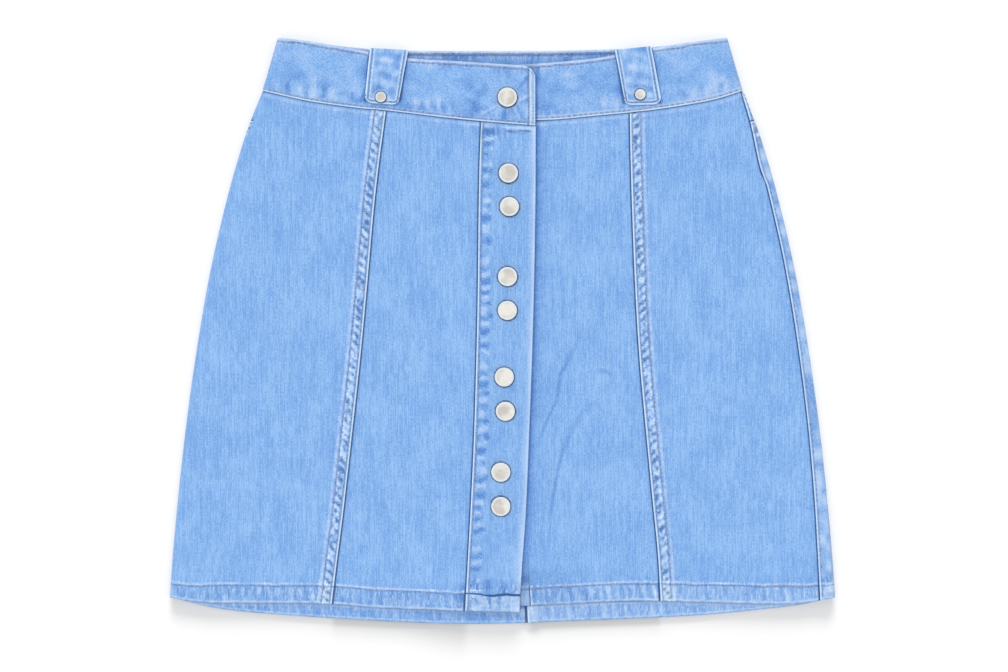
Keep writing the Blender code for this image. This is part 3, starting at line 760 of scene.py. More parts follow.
def plain_denim(tree, cloth, weave, slubs, slub_length, contrast, turn):
    """The colour of unworn denim: its weave, slubs and threads, and the clouds that the wash leaves."""
    threads = noise_on(tree, cloth, 1.0 * MM, 7 * slub_length, detail=1.0, turn=turn)
    broad = noise_on(tree, cloth, 4.0 * MM, 16 * MM, detail=2.0)
    clouds = noise_on(tree, cloth, 26 * MM, 34 * MM, detail=3.0)
    light = rescale(tree, weave, 0.25, 0.75, 0.5 - contrast / 2, 0.5 + contrast / 2)
    for pattern, swing in ((slubs, 0.3), (threads, 0.2), (broad, 0.13), (clouds, 0.16)):
        light = reckon(tree, "ADD", light, rescale(tree, pattern, 0.3, 0.7, -swing, swing))
    return blend_colour(tree, light, DEEP_BLUE, PALE_BLUE)


def denim(name, slub_length, worn, contrast, turn=0.0):
    """A denim finish. worn is the colour of its faded places, as seen."""
    finish, tree, shader = new_finish(name)
    cloth = node(tree, "ShaderNodeUVMap", uv_map="cloth").outputs[0]
    marks = {
        mark: node(tree, "ShaderNodeAttribute", attribute_name=mark).outputs["Fac"]
        for mark in (*MARKS, "inside")
    }
    weave = noise_on(tree, cloth, 0.75 * MM, 1.7 * MM, detail=2.0, roughness=0.75, turn=turn)
    slubs = noise_on(tree, cloth, 0.7 * MM, slub_length, detail=2.0, roughness=0.6, turn=turn)
    colour = plain_denim(tree, cloth, weave, slubs, slub_length, contrast, turn)

    slanting = noise_on(tree, cloth, 2.6 * MM, 5.5 * MM, detail=1.5, turn=0.8, twist=0.2)
    rungs = noise_on(tree, cloth, 2.4 * MM, 0.85 * MM, detail=1.0)
    slanting = node(tree, "ShaderNodeMix", {"Factor": 0.5, "A": slanting, "B": rungs}).outputs[0]
    strokes = noise_on(tree, cloth, 2.3 * MM, 10.0 * MM, detail=1.5, twist=0.15)
    fine = noise_on(tree, cloth, 0.9 * MM, 4.5 * MM, detail=1.0)
    strokes = node(tree, "ShaderNodeMix", {"Factor": 0.5, "A": strokes, "B": fine}).outputs[0]
    pale_rub, deep_rub = mottled(tree, slanting, marks["rub"], 0.7)
    pale_streak, deep_streak = mottled(tree, strokes, marks["streak"], 0.62)
    deep = reckon(tree, "ADD", marks["deep"], reckon(tree, "ADD", deep_rub, deep_streak))
    fade = reckon(tree, "ADD", marks["fade"], reckon(tree, "ADD", pale_rub, pale_streak))
    deep = reckon(tree, "MULTIPLY", deep, rescale(tree, weave, 0.25, 0.75, 1.25, 0.6))
    fade = reckon(tree, "MULTIPLY", fade, rescale(tree, weave, 0.25, 0.75, 0.72, 1.22))
    # deep and line mix in kept dye and painted shade, and fade mixes in wear and some painted light
    colour = blend_colour(tree, reckon(tree, "MINIMUM", deep, 1.0), colour, KEPT_BLUE_AND_SHADE)
    colour = blend_colour(tree, rescale(tree, fade, 0.0, 0.62), colour, seen(*worn))
    colour = blend_colour(tree, rescale(tree, fade, 0.62, 1.0), colour, WORN_WHITE)
    colour = blend_colour(tree, marks["line"], colour, DARK_DYE_AND_SHADE)
    colour = blend_colour(tree, marks["inside"], colour, BACK_OF_CLOTH)

    twill = node(
        tree,
        "ShaderNodeTexWave",
        {"Vector": cloth, "Scale": 0.2 / TWILL_PITCH, "Distortion": 1.5, "Detail": 1.0},
        bands_direction="DIAGONAL",
    ).outputs["Fac"]
    relief = reckon(tree, "ADD", reckon(tree, "MULTIPLY", twill, 0.35), weave)
    puckers = reckon(tree, "MULTIPLY", slanting, marks["rub"])
    puckers = reckon(tree, "ADD", puckers, reckon(tree, "MULTIPLY", strokes, marks["streak"]))
    relief = reckon(tree, "ADD", relief, reckon(tree, "MULTIPLY", puckers, 2.5))
    bump = node(tree, "ShaderNodeBump", {"Height": relief, "Strength": 0.5, "Distance": 0.15 * MM})
    put(shader["Base Color"], colour)
    put(shader["Normal"], bump.outputs[0])
    put(shader["Roughness"], rescale(tree, slubs, 0.3, 0.7, 0.95, 0.8))
    put(shader["Specular IOR Level"], 0.18)
    put(shader["Sheen Weight"], 0.05)
    put(shader["Sheen Roughness"], 0.6)
    return finish


body_denim = denim("denim_body", 8.0 * MM, (187, 215, 251), 0.9)
band_denim = denim("denim_band", 2.4 * MM, (190, 213, 248), 1.35, turn=math.radians(52))
print("denim finishes:", body_denim.name, band_denim.name)

# %% [markdown]
# ## The fronts
# A side front runs from the side seam, where the back lies over it, to the princess seam, where its own
# edge is felled over the centre front. So its marks are a painted shadow in the ditch at the one side and
# a felled band at the other. A centre front has a painted shadow in the ditch on both sides, and the left
# one is painted darker beside the placket. All four end in the puckered hem.


# %% What every body panel shares
def body_courses(wear_and_shade, down, x, seed):
    waist_wear_and_shade(wear_and_shade, down * BODY_LENGTH, x, seed)
    wear_hem(wear_and_shade, from_hem(down), x, seed + 5)
    soft = mottle(x, 38, down * BODY_LENGTH, 52, seed + 9)
    wear_and_shade.lift += 0.22 * MM * soft * window(down, 0.04, 0.94, 0.06)


def bare_above_hem(down):
    """1 where a panel's inner face is the pale back of the cloth, and 0 on the turned-up hem."""
    return (down < HEM_DOWN).astype(float)


def panel_faces(points, out, wear_and_shade, down):
    """Outer and inner faces of a front panel, folded round at the hem."""
    up = from_hem(down)
    outer = lifted(points, out, wear_and_shade) - out * roll(up, BAND_ROLL)[..., None]
    depth = WALL + hem_thickness(down) - roll(up, BAND_ROLL)
    return outer, points - out * (depth + 0 * points[..., 0])[..., None]


# %% Side fronts
def side_seam_run(side, down):
    """The run of the side seam, where the back's edge lies over the front's. The left has a small jog."""
    back_again = 0.64 * ease((down - 0.155) / 0.02)
    jog = ease((down - 0.04) / 0.11) - back_again - 0.36 * ease((down - 0.17) / 0.18)
    inset = RIGHT_SEAM_INSET if side < 0 else left_seam_inset(down) + 2.2 * MM * jog
    return run_to(half_width(down) - inset, half_width(down), panel_height(down))


def front_side(name, side, princess, seed):
    """A side front, felled over the centre front along its princess seam."""
    down = FRONT_DOWNS
    start = side_seam_run(side, down)[:, 0] + (SEAM_GAP / 2 if side > 0 else 0.03 * MM)
    end = run_to(princess(down), half_width(down), panel_height(down))[:, 0] - SEAM_GAP / 2
    run = spread(start, end, EDGE_STEPS, SEWN_STEPS, 3.2 * MM)
    points, out = body_face(side, run, down)
    edge, seam, along = end[:, None] - run, run - start[:, None], down * BODY_LENGTH
    wear_and_shade = WearAndShade(run.shape)
    wear_felled(wear_and_shade, edge, along, 6.6 * MM, seed)
    wear_puckers(wear_and_shade, edge - 11 * MM, along, edge, 9 * MM, 0.14, seed + 20)
    if side > 0:
        ditch_shade_and_dye(wear_and_shade, seam, (0.8 + 0.3 * near_hem(down)) * MM)
        wear_puckers(wear_and_shade, seam, along, seam, 7 * MM, 0.2, seed + 30)
    patch = stripe(from_hem(down), 1, 12.5, 1) * stripe(edge, 2, 11.5, 1)
    wear_and_shade.fade += 0.25 * patch
    wear_and_shade.line += 0.09 * patch
    body_courses(wear_and_shade, down, points[..., 0], seed + 40)
    wear_and_shade.lift += fell(edge)
    faces = panel_faces(points, out, wear_and_shade, down)
    radius = panel_height(down) / 2
    grain = side * (half_width(down) - radius + radius * math.pi / 2 - run), points[..., 1]
    keys = {"edge": edge, "hem_row": from_hem(down) + hem_wander(points[..., 0])}
    return finished(name, faces, out, wear_and_shade, grain, body_denim, keys, bare_above_hem(down))


side_right = front_side("front_side_right", -1, right_princess, 11)
side_left = front_side("front_side_left", 1, left_princess, 12)


# %% Centre fronts
Fine = namedtuple("Fine", "width depth corners")
FINE_CREASES = (
    Fine(1.5, 0.4, ((58, 3), (56.6, -9), (47.6, -25.5), (43.4, -33.5))),
    Fine(1.0, 0.7, ((49, -24), (43.4, -33.5), (41.3, -48.4), (40, -54), (34, -66.5), (27.5, -83))),
    Fine(1.8, 0.36, ((72.2, -55), (64, -56.6), (57.4, -65), (51.6, -76.4), (45, -91.2))),
    Fine(1.1, 0.75, ((47, -87), (45, -91.2), (41.6, -104.3), (39.2, -117.6), (37.6, -129), (35.9, -140))),
    Fine(1.3, 0.55, ((70.5, -31), (76.1, -30.8), (82.1, -32.7))),
    Fine(5.0, 0.12, ((76, 30), (66, -10))),
    Fine(6.0, 0.1, ((-46, 20), (-54, -50))),
    Fine(5.0, 0.12, ((60, 100), (48, 60))),
)  # widths and corners in millimetres


def paint_crease_shading(wear_and_shade, points):
    """A painted shadow along each fine crease, and painted light on a ridge beside it; the hollow is also
    pressed in a little.
    """
    for crease in FINE_CREASES:
        share, off = along_path(points[..., 0], points[..., 1], crease.corners)
        reach = crease.depth * ease(4 * share + 0.3) * ease(4.3 - 4 * share)
        beside = np.abs(off) - 2.4 * crease.width * MM
        wear_and_shade.deep += reach * bell(off, crease.width * MM)
        wear_and_shade.fade += 0.2 * reach * bell(beside, 1.2 * crease.width * MM)
        wear_and_shade.lift -= 0.3 * MM * reach * bell(off, 1.5 * crease.width * MM)


def right_front_wear_and_shade(wear_and_shade, x, down, from_right, from_left, seed):
    """Painted shadow in the ditch along both seams, puckers along both, and deep strokes where the hem
    meets the placket.
    """
    along = down * BODY_LENGTH
    ditch = (0.75 + 0.4 * near_hem(down)) * MM
    ditch_shade_and_dye(wear_and_shade, from_right, ditch, 0.9)
    ditch_shade_and_dye(wear_and_shade, from_left, ditch, 0.9)
    wear_puckers(wear_and_shade, from_left, along, from_left, 8 * MM, 0.16, seed + 20)
    wear_puckers(wear_and_shade, from_right, along, from_right, 8 * MM, 0.16, seed + 30)
    corner = stripe(from_hem(down), 4, 21, 6) * fading(from_left, 6 * MM)
    stroke = mottle(x, 2.6, along, 12, seed + 35)
    wear_and_shade.deep += corner * (0.6 + 0.6 * stroke)
    wear_and_shade.line += 0.3 * corner * ease(1.4 * stroke - 0.2)


def left_front_wear_and_shade(wear_and_shade, x, down, from_right, from_left, seed):
    """Painted shadow beside the placket and at the corner below it, and painted shadow in the ditch along
    the other seam.
    """
    along, beyond = down * BODY_LENGTH, x - placket_edge(down)
    ditch_shade_and_dye(wear_and_shade, from_left, (0.75 + 0.4 * near_hem(down)) * MM, 0.94)
    shade_beside_placket(wear_and_shade, x, down)
    wear_and_shade.fade += 0.5 * near_hem(down) * stripe(from_right, 0.2, 1.2, 0.5)
    # painted shade at the corner beside the placket, near the hem
    corner = stripe(from_hem(down), -1, 28, 8) * ease(1 - from_right / (60 * MM))
    wear_and_shade.deep += 0.3 * corner
    wear_and_shade.line += 0.08 * corner
    wear_and_shade.fade *= 1 - 0.35 * corner * stripe(from_right, 2, 80, 1)
    wear_puckers(wear_and_shade, beyond - 4 * MM, along, beyond, 8 * MM, 0.16, seed + 20)
    wear_puckers(wear_and_shade, from_left, along, from_left, 8 * MM, 0.16, seed + 30)


def front_centre(name, table, near, far, seed):
    """A centre front between two long lines, near on its right and far on its left."""
    down, right = FRONT_DOWNS, table is RIGHT_FRONT
    spacing, gap = (3.2 * MM, SEAM_GAP / 2) if right else (1.2 * MM, 0.04 * MM)
    x = spread(near(down)[:, 0] + gap, far(down)[:, 0] - SEAM_GAP / 2, SEWN_STEPS, SEWN_STEPS, spacing)
    points, out = front_face(table, x, down)
    wear_and_shade = WearAndShade(x.shape)
    body_courses(wear_and_shade, down, x, seed + 40)
    paint_crease_shading(wear_and_shade, points)
    sides_wear_and_shade = right_front_wear_and_shade if right else left_front_wear_and_shade
    sides_wear_and_shade(wear_and_shade, x, down, x - x[:, :1], x[:, -1:] - x, seed)
    faces = panel_faces(points, out, wear_and_shade, down)
    keys = {"hem_row": from_hem(down) + hem_wander(x)}
    return finished(name, faces, out, wear_and_shade, (x, points[..., 1]), body_denim, keys, bare_above_hem(down))


def under_seam(down):
    """The x of the seam between the under placket and the left front. It drifts a little."""
    drift = 2.5 * ease((down - 0.88) / 0.14) - 1.7 * ease((down - 0.6) / 0.25)
    return UNDER_SEAM + drift * MM + 0.25 * MM * unevenness(down * 42, 0.5, 19) * near_hem(down)


def shade_beside_placket(wear_and_shade, x, down):
    """Painted shadow beside the upper placket's fold, on the left front and the under placket alike."""
    beyond = x - placket_edge(down)
    uneven = 0.86 + 0.12 * waver(down * BODY_LENGTH, 9, 14)
    wear_and_shade.deep += uneven * fading(beyond - 1.6 * MM, 3.9 * MM)
    wear_and_shade.line += 0.17 * stripe(beyond, -9, 1.5, 1)


centre_right = front_centre("front_centre_right", RIGHT_FRONT, right_princess, placket_seam, 13)
centre_left = front_centre("front_centre_left", LEFT_FRONT, under_seam, left_princess, 14)

# %% [markdown]
# ## The plackets
# A placket is a folded strip that carries the snaps. The upper one is sewn to the right centre front with
# one row of stitches beside its seam, and its other edge is a soft fold. A ring of painted shadow darkens
# the cloth round each snap cap, where the cap also presses a dent. The under placket shows only near the
# hem, where the upper one narrows, and there it is painted darker with the upper one's shade.

# %% Where the snaps sit, in millimetres
Snap = namedtuple("Snap", "name x y")
PLACKET_SNAPS = (
    Snap("snap_placket_1", 4.4, 117.4),
    Snap("snap_placket_2", 5.1, 92.4),
    Snap("snap_placket_3", 3.7, 40.0),
    Snap("snap_placket_4", 3.6, 14.7),
    Snap("snap_placket_5", 1.3, -35.2),
    Snap("snap_placket_6", 2.1, -60.8),
    Snap("snap_placket_7", -1.3, -106.4),
    Snap("snap_placket_8", -1.3, -132.0),
)
WAIST_SNAP = Snap("snap_waistband", 3.6, 174.1)
LOOP_SNAPS = (Snap("snap_loop_right", -91.1, 174.3), Snap("snap_loop_left", 103.1, 176.3))
SNAP_RADIUS = 7.5 * MM
LOOP_SNAP_RADIUS = 4.1 * MM


def shade_and_dent_round_snaps(wear_and_shade, points, snaps, radius):
    """The painted shadow ring round each cap, the dent under it and the tension round it."""
    for snap in snaps:
        away = np.hypot(points[..., 0] - snap.x * MM, points[..., 1] - snap.y * MM)
        near = window(away, radius - 1.5 * MM, radius + 0.3 * MM, 0.4 * MM)
        # the dark ring round the cap is a painted shadow
        wear_and_shade.line += 0.75 * near + 0.22 * fading(away - radius, 0.5 * MM)
        wear_and_shade.lift -= 0.3 * MM * (1 - ease((away - radius) / (3 * MM)))
        for mark in (wear_and_shade.fade, wear_and_shade.rub, wear_and_shade.streak):
            mark[...] *= ease((away - radius) / (2 * MM))
        wear_and_shade.fade += 0.26 * window(away, radius + 0.3 * MM, radius + 2.0 * MM, 0.8 * MM)


# %% The upper placket
PLACKET_ROW = 2.0 * MM  # the stitches beside the upper placket's seam


def wear_upper_placket(wear_and_shade, x, seam, fold, along, seed):
    """Blotches beside the stitched seam, and a paler strip along the fold."""
    wear_edge(wear_and_shade, seam, along, 1.05 * MM, 1.0, seed)
    blotch = 0.7 * uneven_wave(along + 0.15 * seam, 10.5 * MM, seed + 1)
    blotch = np.clip(blotch + 0.6 * mottle(along, 3.4, seam, 5, seed + 7), -1, 1)
    beside = window(seam, 2.6 * MM, 10 * MM + 2.5 * MM * waver(along, 6, seed + 8), 2.4 * MM)
    wear_and_shade.fade += beside * 0.38 * ease(0.1 + 1.3 * blotch)
    wear_and_shade.deep += beside * (0.16 + 1.15 * ease(-0.1 - 1.5 * blotch))
    wear_and_shade.rub += 0.35 * beside
    row = seam + 0.25 * MM * waver(along, 5, seed + 9)
    wear_and_shade.line += 0.42 * stripe(row, 1.5, 2.8, 0.6)
    wear_and_shade.lift += 0.2 * MM * beside * blotch
    worn = 0.92 + 0.2 * waver(along, 14, seed + 2)
    wear_and_shade.fade += 0.45 * worn * fading(fold - 1.6 * MM, 2.8 * MM)
    wear_and_shade.fade += 0.3 * worn * stripe(fold, -1, 1.2, 0.8)
    soft = mottle(x, 6, along, 26, seed + 3) * stripe(seam, 9, 40, 6)
    wear_and_shade.fade += 0.1 * np.maximum(soft, 0)
    wear_and_shade.deep += 0.12 * np.maximum(-soft, 0)


def upper_placket(name, seed):
    """The placket that carries the caps."""
    down = spread(0.0, BODY_LENGTH, TOP_STEPS, FINE_HEM_STEPS, 1.35 * MM)[:, None] / BODY_LENGTH
    start, end = placket_seam(down)[:, 0] + SEAM_GAP / 2, placket_edge(down)[:, 0]
    x = spread(start, end, EDGE_STEPS, EDGE_STEPS, 1.2 * MM)
    y = body_y(RIGHT_FRONT, x, down)
    points, out = stack(x, y, panel_height(down) + UPPER_RISE), upright(x)
    seam, fold, along = x - x[:, :1], x[:, -1:] - x, down * BODY_LENGTH
    up = from_hem(down) + 0 * x
    wear_and_shade = WearAndShade(x.shape)
    wear_upper_placket(wear_and_shade, x, seam, fold, along, seed)
    shade_and_dent_round_snaps(wear_and_shade, points, PLACKET_SNAPS, SNAP_RADIUS)
    waist_wear_and_shade(wear_and_shade, along, x, seed + 4)
    placket_foot_wear_and_shade(wear_and_shade, x, up, seed + 6)
    wear_placket_head(wear_and_shade, x, y, seed + 6)
    outer = lifted(points, out, wear_and_shade)
    outer -= out * (roll(seam, EDGE_ROLL) + roll(fold, BAND_ROLL) + roll(up, BAND_ROLL))[..., None]
    inner = points - out * (PLACKET_WALL - roll(fold, 0.7 * MM) - roll(up, 0.7 * MM))[..., None]
    return finished(name, (outer, inner), out, wear_and_shade, (x, y), body_denim, {"seam": seam})


def placket_foot_wear_and_shade(wear_and_shade, x, up, seed):
    """The placket's hem, worn pale with deep wedges and a painted shadow line over it, and a bar of
    stitches.
    """
    hem = window(up, 0.6 * MM, HEM_STITCH - 0.8 * MM, 1.2 * MM)
    wedge = ease(2.2 * (uneven_wave(x + 0.2 * up, 7.5 * MM, seed) - 0.9 + up / (20 * MM)))
    wedge = wedge * stripe(x, -13, 2, 5)
    kink = 1.6 * bell(x + 8.6 * MM, 7 * MM) + 0.5 * ease((x - 2 * MM) / (8 * MM))
    seam = HEM_STITCH + (0.6 - kink) * MM + 0.3 * MM * waver(x, 5, seed + 4)
    grain = mottle(x, 2.2, up, 9, seed + 1) + 0.9 * mottle(x, 1, up, 1, seed + 9)
    wear_and_shade.fade += hem * (0.32 + 0.3 * grain) * (1 - 0.85 * wedge)
    wear_and_shade.deep += 0.75 * hem * wedge
    wear_and_shade.line += hem * (0.1 + 0.08 * np.maximum(-grain, 0))
    above = window(up, HEM_STITCH + 1 * MM, HEM_STITCH + 9 * MM, 6 * MM)
    wear_and_shade.streak += 0.3 * hem + 0.6 * above
    thick = (0.5 + 0.4 * ease((x + 14 * MM) / (6 * MM))) * MM
    # a painted shadow line under the hem's fold, along its stitched top
    wear_and_shade.line += 2.2 * window(up, seam - thick, seam + 0.9 * thick, 0.5 * MM)
    near = window(up, HEM_STITCH - 2 * MM, HEM_STITCH + 11 * MM, 8 * MM) * ease(0.5 + (up - seam) / MM)
    stroke = mottle(x, 2.6, up, 9, seed + 5)
    wear_and_shade.deep += near * (0.6 + 0.6 * stroke)
    wear_and_shade.line += 0.3 * near * ease(1.4 * stroke - 0.2)
    bar = stripe(x, -26, -15, 1) * window(up, seam + 1.4 * MM, seam + 5 * MM, 0.8 * MM)
    wear_and_shade.fade += 0.6 * bar * ease(0.5 + uneven_wave(up, 1.6 * MM, seed + 6))
    wear_and_shade.lift -= 0.2 * MM * hem * wedge


def wear_placket_head(wear_and_shade, x, y, seed):
    """Under the waistband: a ridge at the left, pleats in the middle and a shaded corner at the right."""
    ridge = stripe(x, 3.2, 21.0, 1.6)
    wear_and_shade.fade += 0.25 * ridge * stripe(y, 150.4, 152.2, 0.8)
    wear_and_shade.line += 0.75 * ridge * stripe(y, 148.2, 149.4, 0.8)
    pleat = uneven_wave(x + 0.1 * y, 3.8 * MM, seed + 3) * stripe(x, -7, 4, 3)
    pleat = pleat * stripe(y, 143, 153, 6)
    wear_and_shade.fade += 0.6 * np.maximum(pleat, 0)
    wear_and_shade.deep += 0.6 * np.maximum(-pleat, 0)
    corner = stripe(x, -15.5, -5, 2) * stripe(y - 0.25 * x, 147, 153, 3)
    wear_and_shade.deep += corner * (0.55 + 0.3 * mottle(x, 3, y, 3, seed + 10))
    shade = stripe(x, -17, 0, 4) * stripe(y, 143, 160, 5)
    wear_and_shade.fade *= 1 - 0.5 * shade
    wear_and_shade.deep += 0.3 * shade
    wear_and_shade.line += 0.3 * shade * ease(1.6 * mottle(x, 4, y, 3, seed + 12) - 0.1)
    wear_and_shade.fade += 0.4 * stripe(x, -15, -4, 2) * stripe(y - 0.25 * x, 144.6, 146, 1)
    wear_and_shade.lift += 0.25 * MM * pleat


placket_upper = upper_placket("placket_right", 15)


# %% The under placket
def under_placket(name, seed):
    """The placket underneath, which is worn and painted with the upper placket's shade only where it shows
    near the hem.
    """
    down = FRONT_DOWNS
    start = placket_seam(down)[:, 0] + UNDER_INSET + SEAM_GAP / 2
    x = spread(start, under_seam(down)[:, 0], EDGE_STEPS, EDGE_STEPS, 2.6 * MM)
    y = body_y(LEFT_FRONT, x, down)
    points, out = stack(x, y, panel_height(down) + UNDER_RISE), upright(x)
    seam, up = x[:, -1:] - x, from_hem(down) + 0 * x
    wear_and_shade = WearAndShade(x.shape)
    low = near_hem(down)
    upper = ease((up - 30 * MM) / (14 * MM))
    shade_beside_placket(wear_and_shade, x, down)
    wear_and_shade.deep *= 1 - 0.8 * low
    shown = (1 - low) * (1 - upper)
    wear_and_shade.fade += low * (0.32 + 0.2 * mottle(x, 2, up, 6, seed)) + 0.1 * shown
    # painted shade from the upper placket, darkest just above the hem
    wear_and_shade.line += 0.22 * shown + 0.28 * low + 0.3 * stripe(up, 17.5, 24, 3)
    wear_and_shade.line += 0.4 * window(up, HEM_STITCH - 0.8 * MM, HEM_STITCH + 0.4 * MM, 0.5 * MM)
    wear_and_shade.line += 0.6 * low * stripe(seam, -1, 0.7, 0.5)
    wear_and_shade.streak += 0.6 * low
    wear_and_shade.lift -= UNDER_RISE * upper * ease(1 - seam / (3 * MM))
    fall = (1 - upper) * roll(seam, 0.4 * MM) + roll(up, BAND_ROLL)
    outer = lifted(points, out, wear_and_shade) - out * fall[..., None]
    inner = points - out * (PLACKET_WALL - roll(up, 0.7 * MM))[..., None]
    keys = {"hem_row": up + hem_wander(x)}
    return finished(name, (outer, inner), out, wear_and_shade, (x, y), body_denim, keys)


placket_under = under_placket("placket_left", 16)

# %% [markdown]
# ## The back
# Each half of the back has a yoke above it, and both wrap over the side fold to the side seam, so a strip
# of the back shows from the front. Its free edge is felled over the side front. Below the front hem the
# inside of the back's hem shows too, and it is puckered like the front's; just below the front's hem it
# is painted paler, a painted light against the front hem's shadow. The underside is flat, because the
# skirt rests on it; there the seams are only marked in the colour, with painted shadow in their ditches.


# %% Runs and courses of a back piece
FOLD_LINES = 15  # lines of the grid in each half of a side fold


def back_runs(side, down, spacing):
    """Runs from the side seam round the fold to the centre back seam, row by row."""
    radius = panel_height(down) / 2
    quarter = radius * math.pi / 2
    start = side_seam_run(side, down)
    end = -(half_width(down) - radius - side * CENTRE_BACK_SHIFT * down + quarter) + SEAM_GAP / 2
    steps = np.linspace(0, 1, FOLD_LINES)
    top_end = np.minimum(quarter, start * 0.5)
    shares = ease(steps) ** 1.4 if side > 0 else steps
    top = start - (start - top_end) * shares
    turn = top_end + (-quarter - top_end) * steps[1:]
    under = spread(-quarter[:, 0], end[:, 0], np.array((0.0, 1.5)) * MM, SEWN_STEPS, spacing)
    return np.hstack([top, turn, under[:, 1:]]), start, end


def yoke_down(x, down):
    """The course of the yoke's seam: level at the sides and deeper at the centre back."""
    away = np.minimum(1.0, np.abs(x) / half_width(down) / YOKE_FLAT_FROM)
    return YOKE_CENTRE_DOWN + (YOKE_SIDE_DOWN - YOKE_CENTRE_DOWN) * away


TOP_DOWN = SEAM_GAP / 2 / BODY_LENGTH


def yoke_row_down(x, at_side):
    """The course of a yoke's row at x, from its course at the side."""
    seam = yoke_down(x, at_side) - TOP_DOWN
    return TOP_DOWN + (seam - TOP_DOWN) * (at_side - TOP_DOWN) / (YOKE_SIDE_DOWN - TOP_DOWN)


def lower_row_down(x, at_side):
    """The course of a back's row at x, from its course at the side. The hem's rows are level."""
    share = (at_side - YOKE_SIDE_DOWN) / (HEM_EDGE_DOWN - YOKE_SIDE_DOWN)
    seam = yoke_down(x, at_side) + TOP_DOWN
    return np.where(share >= 1, at_side, seam + share * (HEM_EDGE_DOWN - seam))


# %% Wear of a back piece
SIDE_TACKS = (32.8 * MM, 50.8 * MM)  # how far below the waist the strip is tacked down


def back_wear_and_shade(wear_and_shade, start, run, end, down, side, seed):
    """Marks of the outer face: the strip over the fold, with painted shade on the fold's outer line, and
    the seams of the underside, with painted shadow in the lower side's ditch.
    """
    edge, centre, along = start - run, run - end, down * BODY_LENGTH
    strip = stripe(edge, 1.8, 12, 1.2) * ease(1.5 + run / (2 * MM))
    fold_wear_and_shade(wear_and_shade, run, panel_height(down) / 2)
    if side > 0:
        wear_edge(wear_and_shade, edge, along, 0.9 * MM, 0.95, seed)
        blotch = patches(along, edge, 13 * MM, 0.3, seed + 3) + 0.4 * waver(along, 30, seed + 4)
        wear_and_shade.fade += strip * (0.14 + 0.5 * ease(0.1 + 1.5 * blotch))
        wear_and_shade.deep += strip * 0.6 * ease(0.1 - 1.5 * blotch)
        wear_and_shade.rub += 0.15 * strip
        wear_and_shade.line += 0.07 * strip
        wear_and_shade.line += 0.2 * stripe(edge, 1.3, 2.1, 0.6)
        for tack in SIDE_TACKS:
            wear_and_shade.fade += 0.7 * strip * window(along, tack - 0.7 * MM, tack + 0.7 * MM, 0.8 * MM)
            wear_and_shade.line += 0.5 * strip * window(along, tack + 1.0 * MM, tack + 2.0 * MM, 0.8 * MM)
        add_felled(wear_and_shade, centre, along, seed + 2)
    else:
        ditch_shade_and_dye(wear_and_shade, centre)


# %% Build a yoke or a back
def back_piece(name, side, downs, row_down, hem, seed):
    """A yoke, or a back with its hem, wrapped over the side fold."""
    at_side = downs[:, None]
    run, start, end = back_runs(side, at_side, 1.8 * MM if hem else 5 * MM)
    x = body_face(side, run, at_side)[0][..., 0]
    down = row_down(x, at_side)
    points, out = body_face(side, run, down)
    points[..., 0] = x + side * (half_width(down) - half_width(at_side)) * ease(1 + run / FELL_WIDTH)
    edge, radius = start - run, panel_height(down) / 2
    wear_and_shade = WearAndShade(run.shape)
    back_wear_and_shade(wear_and_shade, start, run, end, down, side, seed)
    up = from_hem(down)
    seam_up = (yoke_down(x, at_side) - down) * BODY_LENGTH
    if hem:
        add_felled(wear_and_shade, -seam_up, x, seed + 5)
        wear_hem(wear_and_shade, up, x, seed + 6)
    else:
        ditch_shade_and_dye(wear_and_shade, seam_up)
        ditch_shade_and_dye(wear_and_shade, down * BODY_LENGTH)
    wear_and_shade.lift[...] = 0
    rise = (fell(edge) if side > 0 else 0) * ease(run / radius)
    depth = WALL + hem_thickness(down)
    if side > 0:
        depth = depth + np.maximum(fell(run - end), 0)
    depth = np.where(np.abs(run) < radius * math.pi / 2, np.minimum(depth, radius - FOLD_ROOM), depth)
    inner_wear_and_shade = WearAndShade(run.shape)
    if hem:
        back_hem_wear_and_shading(inner_wear_and_shade, up, x, run - end, side, seed + 7)
        depth = depth - roll(up, BAND_ROLL) + inner_wear_and_shade.lift * ease(-run / FELL_WIDTH)
    outer = points + out * rise[..., None]
    inner = points - out * depth[..., None]
    grain = -side * (half_width(down) - radius + radius * math.pi / 2 + run), points[..., 1]
    keys = {"edge": edge, "hem_row": up + hem_wander(points[..., 0]), "inner": inner}
    bare = bare_above_hem(down)
    return finished(name, (outer, inner), out, wear_and_shade, grain, body_denim, keys, bare, inner_wear_and_shade)


def add_felled(wear_and_shade, distance, along, seed):
    """A felled seam's marks on top of others: it damps nothing and lifts nothing."""
    seam = WearAndShade(distance.shape)
    wear_felled(seam, distance, along, 9 * MM, seed)
    for mark in MARKS:
        getattr(wear_and_shade, mark)[...] += getattr(seam, mark)


